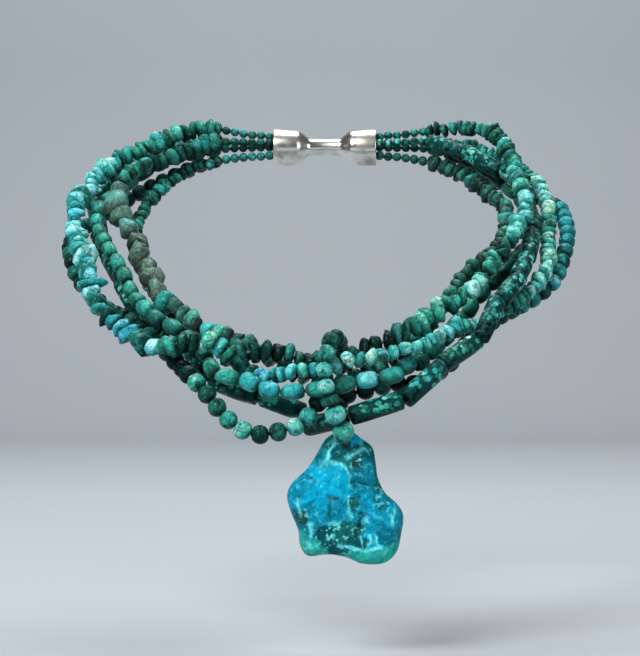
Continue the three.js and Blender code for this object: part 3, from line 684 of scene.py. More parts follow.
# Tone and blue of the beads of one kind by their place along the string.
OVAL_TONES = table(
    "share tone blue",
    (0.000, 0.46, 0.30), (0.395, 0.50, 0.30), (0.410, 0.52, 0.20), (0.427, 0.70, 0.10),
    (0.444, 0.68, 0.10), (0.461, 0.76, 1.10), (0.475, 0.73, 1.30), (0.491, 0.70, 1.10),
    (0.507, 0.60, 0.60), (0.523, 0.64, 0.60), (0.540, 0.74, 1.10), (0.556, 0.64, 0.40),
    (0.573, 0.72, 1.10), (0.588, 0.42, 0.20), (1.000, 0.40, 0.30),
)
ROUND_TONES = table(
    "share tone blue",
    (0.000, 0.20, 0.40), (0.400, 0.24, 0.40), (0.520, 0.22, 0.40), (0.660, 0.24, 0.40),
    (0.700, 0.52, 1.10), (0.800, 0.58, 1.30), (1.000, 0.30, 0.40),
)
TUBE_TONES = table("share tone blue", (0.0, 0.61, 0.4), (1.0, 0.61, 0.4))
# The beads of the low loop at the front left, one by one from where it leaves the others.
DROOP_START = 0.412
DROOP_TONES = (0.74, 0.33, 0.42, 0.66, 0.80, 0.26, 0.38, 0.83, 0.66)

# The bead loop from the slab's hole up the front, over the strings and down behind.
# length: share of an even bead. width: millimetres. The other columns are as in the runs above.
BAIL_BEADS = table(
    "length width tone web barrel blue",
    (1.14, 6.8, 0.72, 0.26, 2.2, 0.3),
    (1.06, 6.6, 0.76, 0.26, 2.2, 0.3),
    (0.60, 6.2, 0.34, 0.68, 3.0, 0.3),
    (0.92, 5.4, 0.84, 0.26, 2.1, 0.9),
    (0.90, 5.2, 0.74, 0.41, 2.1, 0.8),
    (1.04, 6.0, 0.66, 0.60, 2.1, 0.4),
    (1.05, 5.8, 0.40, 0.60, 2.1, 0.3),
    (1.00, 5.4, 0.22, 0.45, 2.1, 0.4),
    (1.05, 5.4, 0.40, 0.45, 2.1, 0.4),
    (1.05, 5.4, 0.60, 0.38, 2.1, 0.4),
    (1.05, 5.4, 0.30, 0.45, 2.1, 0.4),
    (1.05, 5.4, 0.55, 0.45, 2.1, 0.4),
    (1.05, 5.4, 0.25, 0.45, 2.1, 0.4),
    (1.10, 5.4, 0.66, 0.45, 2.1, 0.4),
    (1.15, 5.4, 0.45, 0.45, 2.1, 0.4),
)


# Materials.

# What the greenest stones multiply the usual stone colours by.
GREEN_TINT = (1.10, 0.96, 0.74)
# What the bluest stones multiply them by.
BLUE_TINT = (0.40, 0.86, 1.32)
# Index of refraction of polished stone, and the strength and tint of its sheen.
STONE_IOR = 1.45
SHEEN = 0.16
SHEEN_TINT = (0.40, 0.95, 0.92)


def add_node(tree, kind, inputs=(), **fields):
    """Adds a node. Fields are its own settings; inputs are plain values or the sockets that feed them."""
    made = tree.nodes.new(kind)
    for field, value in fields.items():
        setattr(made, field, value)
    for title, value in dict(inputs).items():
        if isinstance(value, bpy.types.NodeSocket):
            tree.links.new(value, made.inputs[title])
        else:
            made.inputs[title].default_value = value
    return made


def math_node(tree, operation, first, second=0.0, clamp=False):
    """One sum on two numbers or sockets."""
    made = add_node(tree, "ShaderNodeMath", {0: first, 1: second}, operation=operation, use_clamp=clamp)
    return made.outputs[0]


def vector_node(tree, operation, inputs):
    """One sum on vectors."""
    return add_node(tree, "ShaderNodeVectorMath", inputs, operation=operation).outputs[0]


def noise_node(tree, vector, scale, detail, **more):
    """A node of noise at a place, for its number or its colour."""
    inputs = {"Vector": vector, "Scale": scale, "Detail": detail}
    inputs.update({title.capitalize(): value for title, value in more.items()})
    return add_node(tree, "ShaderNodeTexNoise", inputs)


def attribute_node(tree, title, output="Fac"):
    """One of the mesh's own attributes."""
    return add_node(tree, "ShaderNodeAttribute", attribute_name=title).outputs[output]


def map_range(tree, value, low, high, to_low=0.0, to_high=1.0, smooth=True):
    """A value carried from one range to another and held at its ends."""
    kind = "SMOOTHSTEP" if smooth else "LINEAR"
    return add_node(tree, "ShaderNodeMapRange", {
        "Value": value, "From Min": low, "From Max": high, "To Min": to_low, "To Max": to_high,
    }, interpolation_type=kind).outputs["Result"]


def ramp(tree, value, stops):
    """A colour from a value by rows of place and colour."""
    made = add_node(tree, "ShaderNodeValToRGB", {"Fac": value})
    made.color_ramp.interpolation = "EASE"
    elements = made.color_ramp.elements
    while len(elements) < len(stops):
        elements.new(0.5)
    for element, (place, colour) in zip(elements, sorted(stops)):
        element.position = place
        element.color = (*colour, 1)
    return made.outputs["Color"]


def mix_colour(tree, factor, first, second):
    """Blends two colours or sockets."""
    def full(colour):
        return colour if isinstance(colour, bpy.types.NodeSocket) else (*colour, 1)
    made = add_node(tree, "ShaderNodeMix", {0: factor}, data_type="RGBA")
    for index, colour in ((6, full(first)), (7, full(second))):
        if isinstance(colour, bpy.types.NodeSocket):
            tree.links.new(colour, made.inputs[index])
        else:
            made.inputs[index].default_value = colour
    return made.outputs[2]


def multiply_colour(tree, factor, colour, tint):
    """A colour multiplied by a tint, as far as the factor says."""
    inputs = {0: factor, 7: (*tint, 1)}
    made = add_node(tree, "ShaderNodeMix", inputs, data_type="RGBA", blend_type="MULTIPLY")
    tree.links.new(colour, made.inputs[6])
    return made.outputs[2]


def new_material(name):
    """A node material with its Principled shader."""
    material = bpy.data.materials.new(name)
    material.use_nodes = True
    return material, material.node_tree, material.node_tree.nodes["Principled BSDF"]


@lru_cache(maxsize=None)
def stone_web_group():
    """Shared node group for the matrix of turquoise: thin dark veins between warped cells, a value for
    each cell, and slow blotches. Size is the usual distance between veins in the vector's own units."""
    tree = bpy.data.node_groups.new("Stone web", "ShaderNodeTree")
    for title, kind, value in (("Vector", "NodeSocketVector", None), ("Size", "NodeSocketFloat", 2.0),
                               ("Width", "NodeSocketFloat", 0.08), ("Warp", "NodeSocketFloat", 0.6)):
        socket = tree.interface.new_socket(title, in_out="INPUT", socket_type=kind)
        if value is not None:
            socket.default_value = value
    for title in ("Web", "Cell", "Blotch", "Core"):
        tree.interface.new_socket(title, in_out="OUTPUT", socket_type="NodeSocketFloat")
    given = tree.nodes.new("NodeGroupInput")
    result = tree.nodes.new("NodeGroupOutput")
    scale = math_node(tree, "DIVIDE", 1.0, given.outputs["Size"])
    scaled = vector_node(tree, "SCALE", {0: given.outputs["Vector"], "Scale": scale})
    wander = noise_node(tree, scaled, 1.3, 3.0).outputs["Color"]
    centred = vector_node(tree, "SUBTRACT", {0: wander, 1: (0.5, 0.5, 0.5)})
    moved = vector_node(tree, "SCALE", {0: centred, "Scale": given.outputs["Warp"]})
    place = vector_node(tree, "ADD", {0: scaled, 1: moved})
    around = {"Vector": place, "Scale": 1.0}
    edges = add_node(tree, "ShaderNodeTexVoronoi", around, feature="DISTANCE_TO_EDGE")
    cells = add_node(tree, "ShaderNodeTexVoronoi", around)
    near = math_node(tree, "DIVIDE", edges.outputs["Distance"], given.outputs["Width"])
    web = map_range(tree, near, 0.0, 1.0, 1.0, 0.0)
    one = add_node(tree, "ShaderNodeSeparateColor", {"Color": cells.outputs["Color"]})
    slow = noise_node(tree, scaled, 0.55, 4.0)
    blotch = map_range(tree, slow.outputs["Fac"], 0.42, 0.66)
    for title, socket in (("Web", web), ("Cell", one.outputs["Red"]), ("Blotch", blotch),
                          ("Core", cells.outputs["Distance"])):
        tree.links.new(socket, result.inputs[title])
    return tree


def web_node(tree, vector, **given):
    """The shared matrix of turquoise, with its own size, width and warp."""
    web = add_node(tree, "ShaderNodeGroup", node_tree=stone_web_group())
    tree.links.new(vector, web.inputs["Vector"])
    for title, value in given.items():
        if isinstance(value, bpy.types.NodeSocket):
            tree.links.new(value, web.inputs[title.capitalize()])
        else:
            web.inputs[title.capitalize()].default_value = value
    return web


def polish(tree, shader, colour, mask, roughness, height, bump):
    """Polished stone: its colour, a gloss that is duller where the matrix is, fine relief and a cool sheen.
    Roughness is a pair: on clean stone and in the matrix. Bump is its strength and its height in metres."""
    tree.links.new(colour, shader.inputs["Base Color"])
    rough = map_range(tree, mask, 0.0, 1.0, *roughness, smooth=False)
    tree.links.new(rough, shader.inputs["Roughness"])
    relief = {"Height": height, "Strength": bump[0], "Distance": bump[1]}
    tree.links.new(add_node(tree, "ShaderNodeBump", relief).outputs["Normal"], shader.inputs["Normal"])
    shader.inputs["IOR"].default_value = STONE_IOR
    shader.inputs["Specular IOR Level"].default_value = SHEEN
    shader.inputs["Specular Tint"].default_value = (*SHEEN_TINT, 1)


def palette(colours):
    """Rows of tone and colour from black through green and turquoise to pale."""
    return [(0.0, colours.black), (0.18, colours.deep), (0.42, colours.green), (0.66, colours.turquoise),
            (0.84, colours.bright), (1.0, colours.pale)]


def stone_material(name, cell=0.18, mottle=0.46, size=2.6, width=0.30, veins=1.0, inlay=False):
    """Polished turquoise: its tone comes from each stone, with its painted shade below and at its ends,
    shifted by cells and slow mottling, with veins and blotches of dark matrix. An inlay has broad dark joints
    between its chips."""
    colours = bpy.context.scene.necklace_stones
    material, tree, shader = new_material(name)
    place = attribute_node(tree, "stone", "Vector")
    tone, amount, blue, grey = (attribute_node(tree, title) for title in ("tone", "web", "blue", "grey"))
    vein_width = math_node(tree, "MULTIPLY", amount, width)
    web = web_node(tree, place, size=size, width=vein_width, warp=0.7 if inlay else 0.9)
    fine = noise_node(tree, place, 0.75, 5.0, roughness=0.6)
    shifted = math_node(tree, "MULTIPLY_ADD", fine.outputs["Fac"], mottle)
    shifted.node.inputs[2].default_value = -0.5 * mottle
    by_cell = math_node(tree, "MULTIPLY_ADD", web.outputs["Cell"], cell)
    by_cell.node.inputs[2].default_value = -0.5 * cell
    total = math_node(tree, "ADD", math_node(tree, "ADD", tone, shifted), by_cell, clamp=True)
    own = noise_node(tree, place, 0.012, 0.0)
    wander = map_range(tree, own.outputs["Fac"], 0.36, 0.64, 0.75, 1.25)
    greener = math_node(tree, "SUBTRACT", wander, blue, clamp=True)
    body = multiply_colour(tree, greener, ramp(tree, total, palette(colours)), GREEN_TINT)
    bluer = math_node(tree, "SUBTRACT", blue, 1.0, clamp=True)
    body = multiply_colour(tree, bluer, body, BLUE_TINT)
    milky = math_node(tree, "MULTIPLY", grey, map_range(tree, fine.outputs["Fac"], 0.35, 0.65, 0.35, 1.0))
    body = mix_colour(tree, milky, body, colours.milky)
    lines = map_range(tree, web.outputs["Core"], 0.46, 0.54) if inlay else web.outputs["Web"]
    if not inlay:
        lines = math_node(tree, "MULTIPLY", lines, map_range(tree, fine.outputs["Fac"], 0.40, 0.58, 0.0, 0.8))
    dense = math_node(tree, "ADD", web.outputs["Blotch"], math_node(tree, "MULTIPLY", amount, 0.60))
    spots = map_range(tree, dense, 0.95, 1.20, 0.0, 0.0 if inlay else 0.8)
    mask = math_node(tree, "MULTIPLY", math_node(tree, "MAXIMUM", lines, spots), veins, clamp=True)
    colour = mix_colour(tree, mask, body, colours.deep if inlay else colours.matrix)
    height = math_node(tree, "SUBTRACT", math_node(tree, "MULTIPLY", fine.outputs["Fac"], 0.25), mask)
    polish(tree, shader, colour, mask, (colours.gloss, colours.gloss + 0.16), height, (0.5, 0.0003))
    return material


def thread_material():
    """Dark waxed thread."""
    material, tree, shader = new_material("Waxed thread")
    place = add_node(tree, "ShaderNodeTexCoord").outputs["Object"]
    fibre = noise_node(tree, place, 2600.0, 2.0)
    colour = mix_colour(tree, fibre.outputs["Fac"], (0.020, 0.030, 0.028), (0.060, 0.075, 0.065))
    tree.links.new(colour, shader.inputs["Base Color"])
    shader.inputs["Roughness"].default_value = 0.65
    return material


def clasp_material():
    """Worn silver: bright on the whole, with slow cloudy tarnish that also dulls its gloss."""
    material, tree, shader = new_material("Worn silver")
    place = add_node(tree, "ShaderNodeTexCoord").outputs["Object"]
    cloud = noise_node(tree, place, 160.0, 5.0).outputs["Fac"]
    tarnish = map_range(tree, cloud, 0.45, 0.72)
    colour = mix_colour(tree, tarnish, (0.72, 0.70, 0.66), (0.30, 0.28, 0.25))
    tree.links.new(colour, shader.inputs["Base Color"])
    tree.links.new(map_range(tree, cloud, 0.3, 0.8, 0.20, 0.42), shader.inputs["Roughness"])
    shader.inputs["Metallic"].default_value = 1.0
    return material


# Pieces.


def dress(piece, material, body, slot, *nodes):
    """Gives a piece its material, its body and the solids that it stands for; the slot is not used."""
    piece.data.materials.append(material)
    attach(piece, body)
    if nodes:
        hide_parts(*nodes)
    return piece


# Strings of one kind of bead. length: millimetres, and spread: how far lengths differ, both with the dice of
# the solids. differ: how far tones differ. narrow and wide: shares of the string's width. under: painted
# shade, how much darker a bead is painted on its lower side. lump: how much it swells. cut: how deep its flat
# cuts go.
# rings and sides: points along a bead and round it. The rest is as in the runs above.
EVEN_KINDS = table(
    "length spread dice differ narrow wide web barrel lump cut lean rings sides under",
    (7.8, 0.16, 103, 0.08, 0.96, 1.06, 0.35, 2.8, 0.12, 0.14, 0.05, 9, 12, 0.2),
    (5.6, 0.02, 104, 0.12, 1.05, 1.10, 0.6, 2.3, 0.06, 0.04, 0.05, 8, 12, 0.2),
    (17, 0.1, 105, 0.06, 0.98, 1.02, 1.0, 14.0, 0.015, 0.0, 0.01, 14, 24, 0.6),
)
# How much of the room in their string's width these beads use.
EVEN_STRAY = 0.5
# Darkest and palest tone of a stone. Mixed stones differ in tone by this many times what their row says.
TONE_ENDS = (0.02, 0.98)
DIFFER_SHARE = 1.3


def build_even_string(name, piece_name, kind, tones, seed):
    """A string of one kind of bead, laid out as in the solids."""
    line = StringLine(settled_lines()[name])
    rng = np.random.default_rng(seed)
    starts, lengths = lay_even(line.length, kind["length"], kind["spread"], kind["dice"])
    middles = starts + lengths / 2
    shares = middles / line.length
    count = len(middles)
    tone = planned(shares, tones, "tone") + rng.normal(0, kind["differ"], count)
    if name == "round":
        first = int(np.searchsorted(shares, DROOP_START))
        tone[first:first + len(DROOP_TONES)] = DROOP_TONES
    width = 2 * STRINGS[name]["radius"] * rng.uniform(kind["narrow"], kind["wide"], count)
    looks = {
        "width": width, "depth": width * rng.uniform(0.94, 1.0, count), "tone": np.clip(tone, *TONE_ENDS),
        "web": kind["web"] * rng.uniform(0.4, 1.3, count), "barrel": kind["barrel"], "square": 2.0,
        "lump": kind["lump"], "cut": kind["cut"], "lean": kind["lean"],
        "blue": planned(shares, tones, "blue"), "grey": 0.0, "under": kind["under"],
    }
    beads = string_beads(line, name, middles, lengths, looks, EVEN_STRAY, seed)
    return stone_mesh(piece_name, beads, kind["rings"], kind["sides"], seed)


def build_mixed_string(name, piece_name, runs, seed, lump, cut, stray, rings=7, sides=10):
    """A string of runs of different nuggets or chips. Lump is how much stones swell, cut how deep their flat
    cuts go, and stray how much of the room in their string's width they use."""
    line = StringLine(settled_lines()[name])
    rng = np.random.default_rng(seed)
    starts, lengths, kinds = lay_runs(line.length, runs, seed)
    count = len(starts)

    def of_run(column):
        return np.array([runs[k].get(column, 0.0) for k in kinds])

    def between(column):
        low, high = np.array([runs[k][column] for k in kinds]).T
        return rng.uniform(low, high)

    tone = of_run("tone") + of_run("differ") * rng.uniform(-1, 1, count) * DIFFER_SHARE
    looks = {
        "width": between("width"), "depth": between("depth"), "tone": np.clip(tone, *TONE_ENDS),
        "web": of_run("web") * rng.uniform(0.2, 1.4, count), "barrel": of_run("barrel"),
        "square": rng.uniform(2.0, 3.4, count), "lump": lump, "cut": cut, "lean": of_run("lean"),
        # under: painted shade on each stone's lower side.
        "blue": of_run("blue") + rng.uniform(-0.5, 0.4, count), "grey": of_run("grey"), "under": 0.2,
    }
    beads = string_beads(line, name, starts + lengths / 2, lengths, looks, stray, seed)
    return stone_mesh(piece_name, beads, rings, sides, seed)


class NECKLACE_OT_bead_strings(Operator):
    """Round beads, barrel beads and inlaid cylinders"""

    bl_idname = "necklace.bead_strings"
    bl_label = "Bead strings"

    def execute(self, context):
        seed = context.scene.necklace_sizes.seed
        oval, ball, tube = EVEN_KINDS
        stone = stone_material("Barrel bead turquoise", size=3.6, mottle=0.40, veins=0.8)
        dress(build_even_string("oval", "barrel_beads", oval, OVAL_TONES, seed + 1),
              stone, "necklace", "oval_stone", "string_oval")
        stone = stone_material("Round bead turquoise", size=2.0)
        dress(build_even_string("round", "round_beads", ball, ROUND_TONES, seed + 2),
              stone, "necklace", "round_stone", "string_round")
        stone = stone_material("Inlaid turquoise", cell=0.5, size=1.9, width=0.42, inlay=True)
        dress(build_even_string("tube", "inlaid_cylinders", tube, TUBE_TONES, seed + 3),
              stone, "necklace", "inlay_stone", "string_tube")
        return {"FINISHED"}


class NECKLACE_OT_nugget_strings(Operator):
    """Tall nuggets, small nuggets and flat chips"""

    bl_idname = "necklace.nugget_strings"
    bl_label = "Nugget strings"

    def execute(self, context):
        seed = context.scene.necklace_sizes.seed
        tall = build_mixed_string(
            "nugget", "tall_nuggets", NUGGET_RUNS, seed + 4, lump=0.50, cut=0.42, stray=1.0)
        dress(tall, stone_material("Nugget turquoise", mottle=0.85, size=3.6, width=0.38),
              "necklace", "nugget_stone", "string_nugget")
        small = build_mixed_string(
            "small", "small_nuggets", SMALL_RUNS, seed + 5, lump=0.40, cut=0.34, stray=0.9)
        dress(small, stone_material("Small nugget turquoise", mottle=0.50, size=2.8, width=0.42),
              "necklace", "small_stone", "string_small")
        chips = build_mixed_string(
            "chip", "flat_chips", CHIP_RUNS, seed + 6, lump=0.40, cut=0.44, stray=0.9)
        dress(chips, stone_material("Chip turquoise", mottle=0.60, size=3.6),
              "necklace", "chip_stone", "string_chip")
        return {"FINISHED"}


# What all beads of the loop have in common; under is the painted shade on their lower sides.
LOOP_LOOKS = {"square": 2.0, "lump": 0.08, "cut": 0.1, "lean": 0.02, "grey": 0.0, "under": 0.15}
# Bare thread between the slab and the loop's first bead, in millimetres, and how finely threads are cut up.
BARE_THREAD = 1.6
LOOP_STEPS = 240
THREAD_STEPS = 160


class NECKLACE_OT_bail(Operator):
    """The loop of beads round the strings, and the thread inside all of them"""

    bl_idname = "necklace.bail"
    bl_label = "Bead loop and thread"

    def execute(self, context):
        loop = StringLine(bail_line(), closed=True)
        bare = SLAB_THICKNESS / 2 + CLEARANCE + BARE_THREAD
        lengths = column_of(BAIL_BEADS, "length")
        lengths = lengths * (loop.length - 2 * bare) / lengths.sum()
        middles = bare + np.cumsum(lengths) - lengths / 2
        place, along, out, side = loop.frames(middles, 1.0)
        width = column_of(BAIL_BEADS, "width")
        beads = {"place": place, "along": along, "out": out, "side": side}
        beads["half"] = np.stack([lengths * 0.495, width / 2, width / 2], axis=1)
        for title in ("tone", "web", "barrel", "blue"):
            beads[title] = column_of(BAIL_BEADS, title)
        for title, value in LOOP_LOOKS.items():
            beads[title] = np.full(len(width), value)
        seed = context.scene.necklace_sizes.seed
        dress(stone_mesh("loop_beads", beads, 14, 22, seed + 7),
              stone_material("Loop bead turquoise", size=1.6), "necklace", "bail_stone", "bail_beads")

        radius = context.scene.necklace_sizes.thread / MM
        steps = np.arange(LOOP_STEPS) / LOOP_STEPS * loop.length
        from_hole = np.minimum(steps, loop.length - steps)
        wrapped = np.clip((bare - from_hole) / (bare - SLAB_THICKNESS / 2), 0, 1)
        radii = radius + (WRAPPED_RADIUS - radius) * wrapped
        points, faces = swept_tube(loop, steps, radii, 10, looped=True)
        dress(make_mesh("loop_thread", points, faces), thread_material(), "necklace", "bail_stone")
        all_points, all_faces, start = [], [], 0
        for line in (StringLine(points) for points in settled_lines().values()):
            steps = np.linspace(0, line.length, THREAD_STEPS)
            points, faces = swept_tube(line, steps, np.full(THREAD_STEPS, radius), 6)
            all_points.append(points)
            all_faces += [face + start for face in faces]
            start += len(points)
        dress(make_mesh("string_threads", np.concatenate(all_points), all_faces),
              thread_material(), "necklace", "bail_stone")
        return {"FINISHED"}


# Front view of the slab from its hole: shares of its width and height.
SLAB_OUTLINE = table(
    "x z",
    (0.07, 0.075), (0.15, 0.03), (0.25, -0.04), (0.28, -0.15), (0.3, -0.27), (0.36, -0.38),
    (0.47, -0.47), (0.52, -0.56), (0.5, -0.7), (0.46, -0.83), (0.35, -0.91), (0.17, -0.915),
    (0.02, -0.865), (-0.13, -0.845), (-0.3, -0.855), (-0.37, -0.78), (-0.39, -0.66), (-0.45, -0.53),
    (-0.485, -0.41), (-0.44, -0.31), (-0.31, -0.2), (-0.22, -0.08), (-0.15, 0.02), (-0.05, 0.07),
)

# Broad swells and hollows of its front: place from the hole, reach and rise as shares of width and thickness.
SLAB_RELIEF = table(
    "x z reach rise",
    (-0.2, -0.4, 0.16, 0.16), (0.02, -0.33, 0.1, 0.14), (0.4, -0.62, 0.12, 0.16),
    (0.22, -0.62, 0.09, -0.12), (-0.1, -0.62, 0.1, -0.14), (0.2, -0.82, 0.13, 0.12),
    (-0.28, -0.72, 0.09, 0.1), (0.2, -0.4, 0.09, -0.1),
)

# Patches of colour in the polished face. x and z: place from the hole, as shares of width and height.
# reach: a share of the width. The patch that is nearest for its reach gives the colour. speckle: how much
# dark matrix is in it.
SLAB_PATCHES = table(
    "x z reach colour speckle",
    (-0.14, -0.30, 0.16, "azure", 0.0),
    (-0.24, -0.42, 0.11, "azure", 0.0),
    (-0.01, -0.36, 0.09, "azure", 0.0),
    (-0.02, -0.50, 0.08, "ocean", 0.1),
    (-0.38, -0.34, 0.11, "ocean", 0.1),
    (-0.30, -0.50, 0.07, "ocean", 0.3),
    (-0.20, -0.58, 0.07, "ocean", 0.2),
    (-0.33, -0.54, 0.05, "brown", 0.6),
    (-0.08, -0.04, 0.13, "deep", 0.2),
    (-0.18, -0.10, 0.08, "teal", 0.2),
    (0.02, -0.11, 0.07, "moss", 0.5),
    (0.09, 0.035, 0.055, "azure", 0.0),
    (0.20, -0.06, 0.08, "deep", 0.2),
    (0.11, -0.155, 0.06, "brown", 0.9),
    (0.19, -0.25, 0.13, "teal", 0.15),
    (0.27, -0.33, 0.05, "deep", 0.3),
    (0.20, -0.35, 0.08, "ocean", 0.1),
    (0.08, -0.46, 0.07, "moss", 0.9),
    (0.19, -0.50, 0.09, "ocean", 0.1),
    (0.32, -0.46, 0.07, "teal", 0.4),
    (0.41, -0.55, 0.11, "ocean", 0.1),
    (0.36, -0.70, 0.11, "teal", 0.1),
    (0.24, -0.66, 0.09, "ocean", 0.1),
    (0.14, -0.66, 0.06, "moss", 0.7),
    (-0.03, -0.68, 0.08, "moss", 0.9),
    (-0.15, -0.72, 0.08, "deep", 0.8),
    (-0.02, -0.79, 0.08, "deep", 0.6),
    (-0.28, -0.67, 0.07, "teal", 0.2),
    (-0.27, -0.77, 0.10, "mint", 0.4),
    (0.12, -0.77, 0.08, "deep", 0.8),
    (0.27, -0.78, 0.05, "ocean", 0.1),
    (0.20, -0.88, 0.13, "mint", 0.0),
    (0.40, -0.84, 0.10, "mint", 0.1),
    (0.04, -0.85, 0.06, "mint", 0.2),
)

# Pale seams and dark slits, from one place to another, with width as a share of the slab's width and rise
# as a share of its thickness. The pale and azure lines on raised seams are painted highlights along those
# ridges, and the deep lines in sunken seams are painted shade in those grooves; the black, brown and moss
# lines are slits and streaks in the stone.
SLAB_SEAMS_AND_PAINTED_LIGHT = table(
    "x1 z1 x2 z2 width rise colour",
    (-0.08, -0.02, -0.14, -0.13, 0.012, 0.04, "pale"),
    (-0.14, -0.13, -0.21, -0.18, 0.016, 0.05, "pale"),
    (-0.10, -0.15, -0.01, -0.17, 0.014, 0.05, "pale"),
    (-0.01, -0.17, 0.05, -0.23, 0.010, 0.07, "pale"),
    (0.05, -0.23, 0.05, -0.33, 0.009, 0.08, "pale"),
    (0.05, -0.40, 0.045, -0.50, 0.008, 0.05, "pale"),
    (0.045, -0.50, 0.07, -0.56, 0.012, 0.05, "pale"),
    (0.05, -0.115, 0.10, -0.08, 0.020, 0.06, "pale"),
    (0.10, -0.08, 0.18, -0.055, 0.014, 0.06, "pale"),
    (0.05, -0.30, 0.18, -0.315, 0.008, -0.06, "deep"),
    (0.18, -0.315, 0.32, -0.36, 0.008, -0.06, "deep"),
    (0.11, -0.38, 0.20, -0.42, 0.010, 0.05, "azure"),
    (0.20, -0.42, 0.26, -0.50, 0.010, 0.06, "azure"),
    (0.26, -0.50, 0.28, -0.58, 0.009, 0.05, "azure"),
    (0.28, -0.42, 0.31, -0.50, 0.012, -0.07, "deep"),
    (0.155, -0.53, 0.11, -0.70, 0.012, -0.10, "black"),
    (0.19, -0.57, 0.22, -0.60, 0.014, 0.03, "pale"),
    (0.19, -0.72, 0.19, -0.80, 0.011, -0.07, "deep"),
    (0.16, -0.70, 0.165, -0.80, 0.006, 0.03, "pale"),
    (0.22, -0.70, 0.225, -0.76, 0.010, 0.03, "pale"),
    (-0.03, -0.76, 0.10, -0.81, 0.014, 0.05, "pale"),
    (0.10, -0.81, 0.31, -0.80, 0.011, 0.05, "pale"),
    (0.27, -0.70, 0.31, -0.80, 0.008, 0.04, "pale"),
    (0.45, -0.51, 0.41, -0.62, 0.013, 0.07, "pale"),
    (-0.10, -0.60, -0.02, -0.605, 0.014, 0.05, "pale"),
    (-0.12, -0.41, -0.06, -0.42, 0.018, -0.10, "brown"),
    (-0.11, -0.43, -0.115, -0.59, 0.013, -0.08, "moss"),
    (-0.21, -0.68, -0.18, -0.76, 0.020, -0.08, "deep"),
    (-0.13, -0.73, -0.08, -0.70, 0.012, 0.04, "pale"),
    (-0.28, -0.61, -0.27, -0.70, 0.017, 0.05, "pale"),
    (-0.31, -0.74, -0.27, -0.79, 0.016, 0.04, "pale"),
    (-0.40, -0.42, -0.37, -0.54, 0.009, 0.04, "pale"),
    (-0.34, -0.24, -0.24, -0.30, 0.010, -0.04, "deep"),
)


# How far waves move the patches' edges, in millimetres, with the length of the waves.
EDGE_WAVES = table(
    "height length x_seed z_seed",
    (0.9, 5.0, 41, 43), (0.55, 1.9, 42, 44), (0.35, 1.0, 45, 46),
)
# How sharp patches end, how much of that moving seams follow, and how well they cover.
PATCH_EDGE = 9
SEAM_WANDER = 0.55
SEAM_COVER = 0.9
SEAM_SPREAD = 1.15

# The slab's points: steps round its edge, rings from its rim to its middle on each side, how near the rim
# rings crowd, and how near to the middle the last one comes.
SLAB_STEPS = 260
SLAB_RINGS = 62
RIM_CROWDING = 1.5
LAST_RING = 0.985
# The rounded rim: how far in it reaches, and how full it is.
RIM_REACH = 0.35
RIM_BEND = 4
RIM_FULLNESS = 0.556


def slab_frame_points(steps):
    """Front view of the slab's edge in millimetres from its hole, evenly spaced, slid sideways so that its
    middle of area lies under the hole, and that middle."""
    x, z = column_of(SLAB_OUTLINE, "x") * SLAB_WIDTH, column_of(SLAB_OUTLINE, "z") * SLAB_HEIGHT
    rows = np.stack([x, np.zeros(len(x)), z], axis=1)
    fine = catmull_rom(rows, np.linspace(0, len(rows), 40 * len(rows) + 1), closed=True)
    edge = along_polyline(fine, running_length(fine)[-1] * np.arange(steps) / steps)[:, ::2]
    after = np.roll(edge, -1, axis=0)
    cross = edge[:, 0] * after[:, 1] - after[:, 0] * edge[:, 1]
    middle = np.sum((edge + after) * cross[:, None], axis=0) / (3 * cross.sum())
    return edge, middle


def wavy(x, z, seed, size):
    """A smooth wandering value: the mean of eight sine waves of random directions, about `size` long."""
    rng = np.random.default_rng(seed)
    turn, phase = rng.uniform(0, 2 * np.pi, (2, 8))
    pace = 2 * np.pi / (size * rng.uniform(0.6, 1.7, 8))
    across = x[..., None] * np.cos(turn) + z[..., None] * np.sin(turn)
    return np.sin(across * pace + phase).mean(axis=-1) * 1.6


def seam_share(x, z, seam):
    """How much of a seam lies at each place: 1 on its line, falling off as a bell to its width."""
    start = np.array([seam["x1"] * SLAB_WIDTH, seam["z1"] * SLAB_HEIGHT])
    run = np.array([seam["x2"] * SLAB_WIDTH, seam["z2"] * SLAB_HEIGHT]) - start
    share = np.clip(((x - start[0]) * run[0] + (z - start[1]) * run[1]) / (run @ run), 0, 1)
    away = np.hypot(x - start[0] - share * run[0], z - start[1] - share * run[1])
    return np.exp(-((away / (SEAM_SPREAD * seam["width"] * SLAB_WIDTH)) ** 2))


def slab_rise(x, z, ripple):
    """Rise of the polished front at a place from the hole: broad swells, seams, and slow ripples that die
    away near the hole."""
    rise = sum(
        row["rise"] * SLAB_THICKNESS * np.exp(
            -((x - row["x"] * SLAB_WIDTH) ** 2 + (z - row["z"] * SLAB_HEIGHT) ** 2)
            / (2 * (row["reach"] * SLAB_WIDTH) ** 2))
        for row in SLAB_RELIEF)
    clear = np.clip((np.hypot(x, z) - SLAB_HOLE_RADIUS) / (2 * SLAB_HOLE_RADIUS), 0, 1)
    for seam in SLAB_SEAMS_AND_PAINTED_LIGHT:
        rise = rise + clear * seam["rise"] * SLAB_THICKNESS * seam_share(x, z, seam)
    return rise + clear * ripple * (wavy(x, z, 31, 7.0) + 0.4 * wavy(x, z, 32, 2.6))


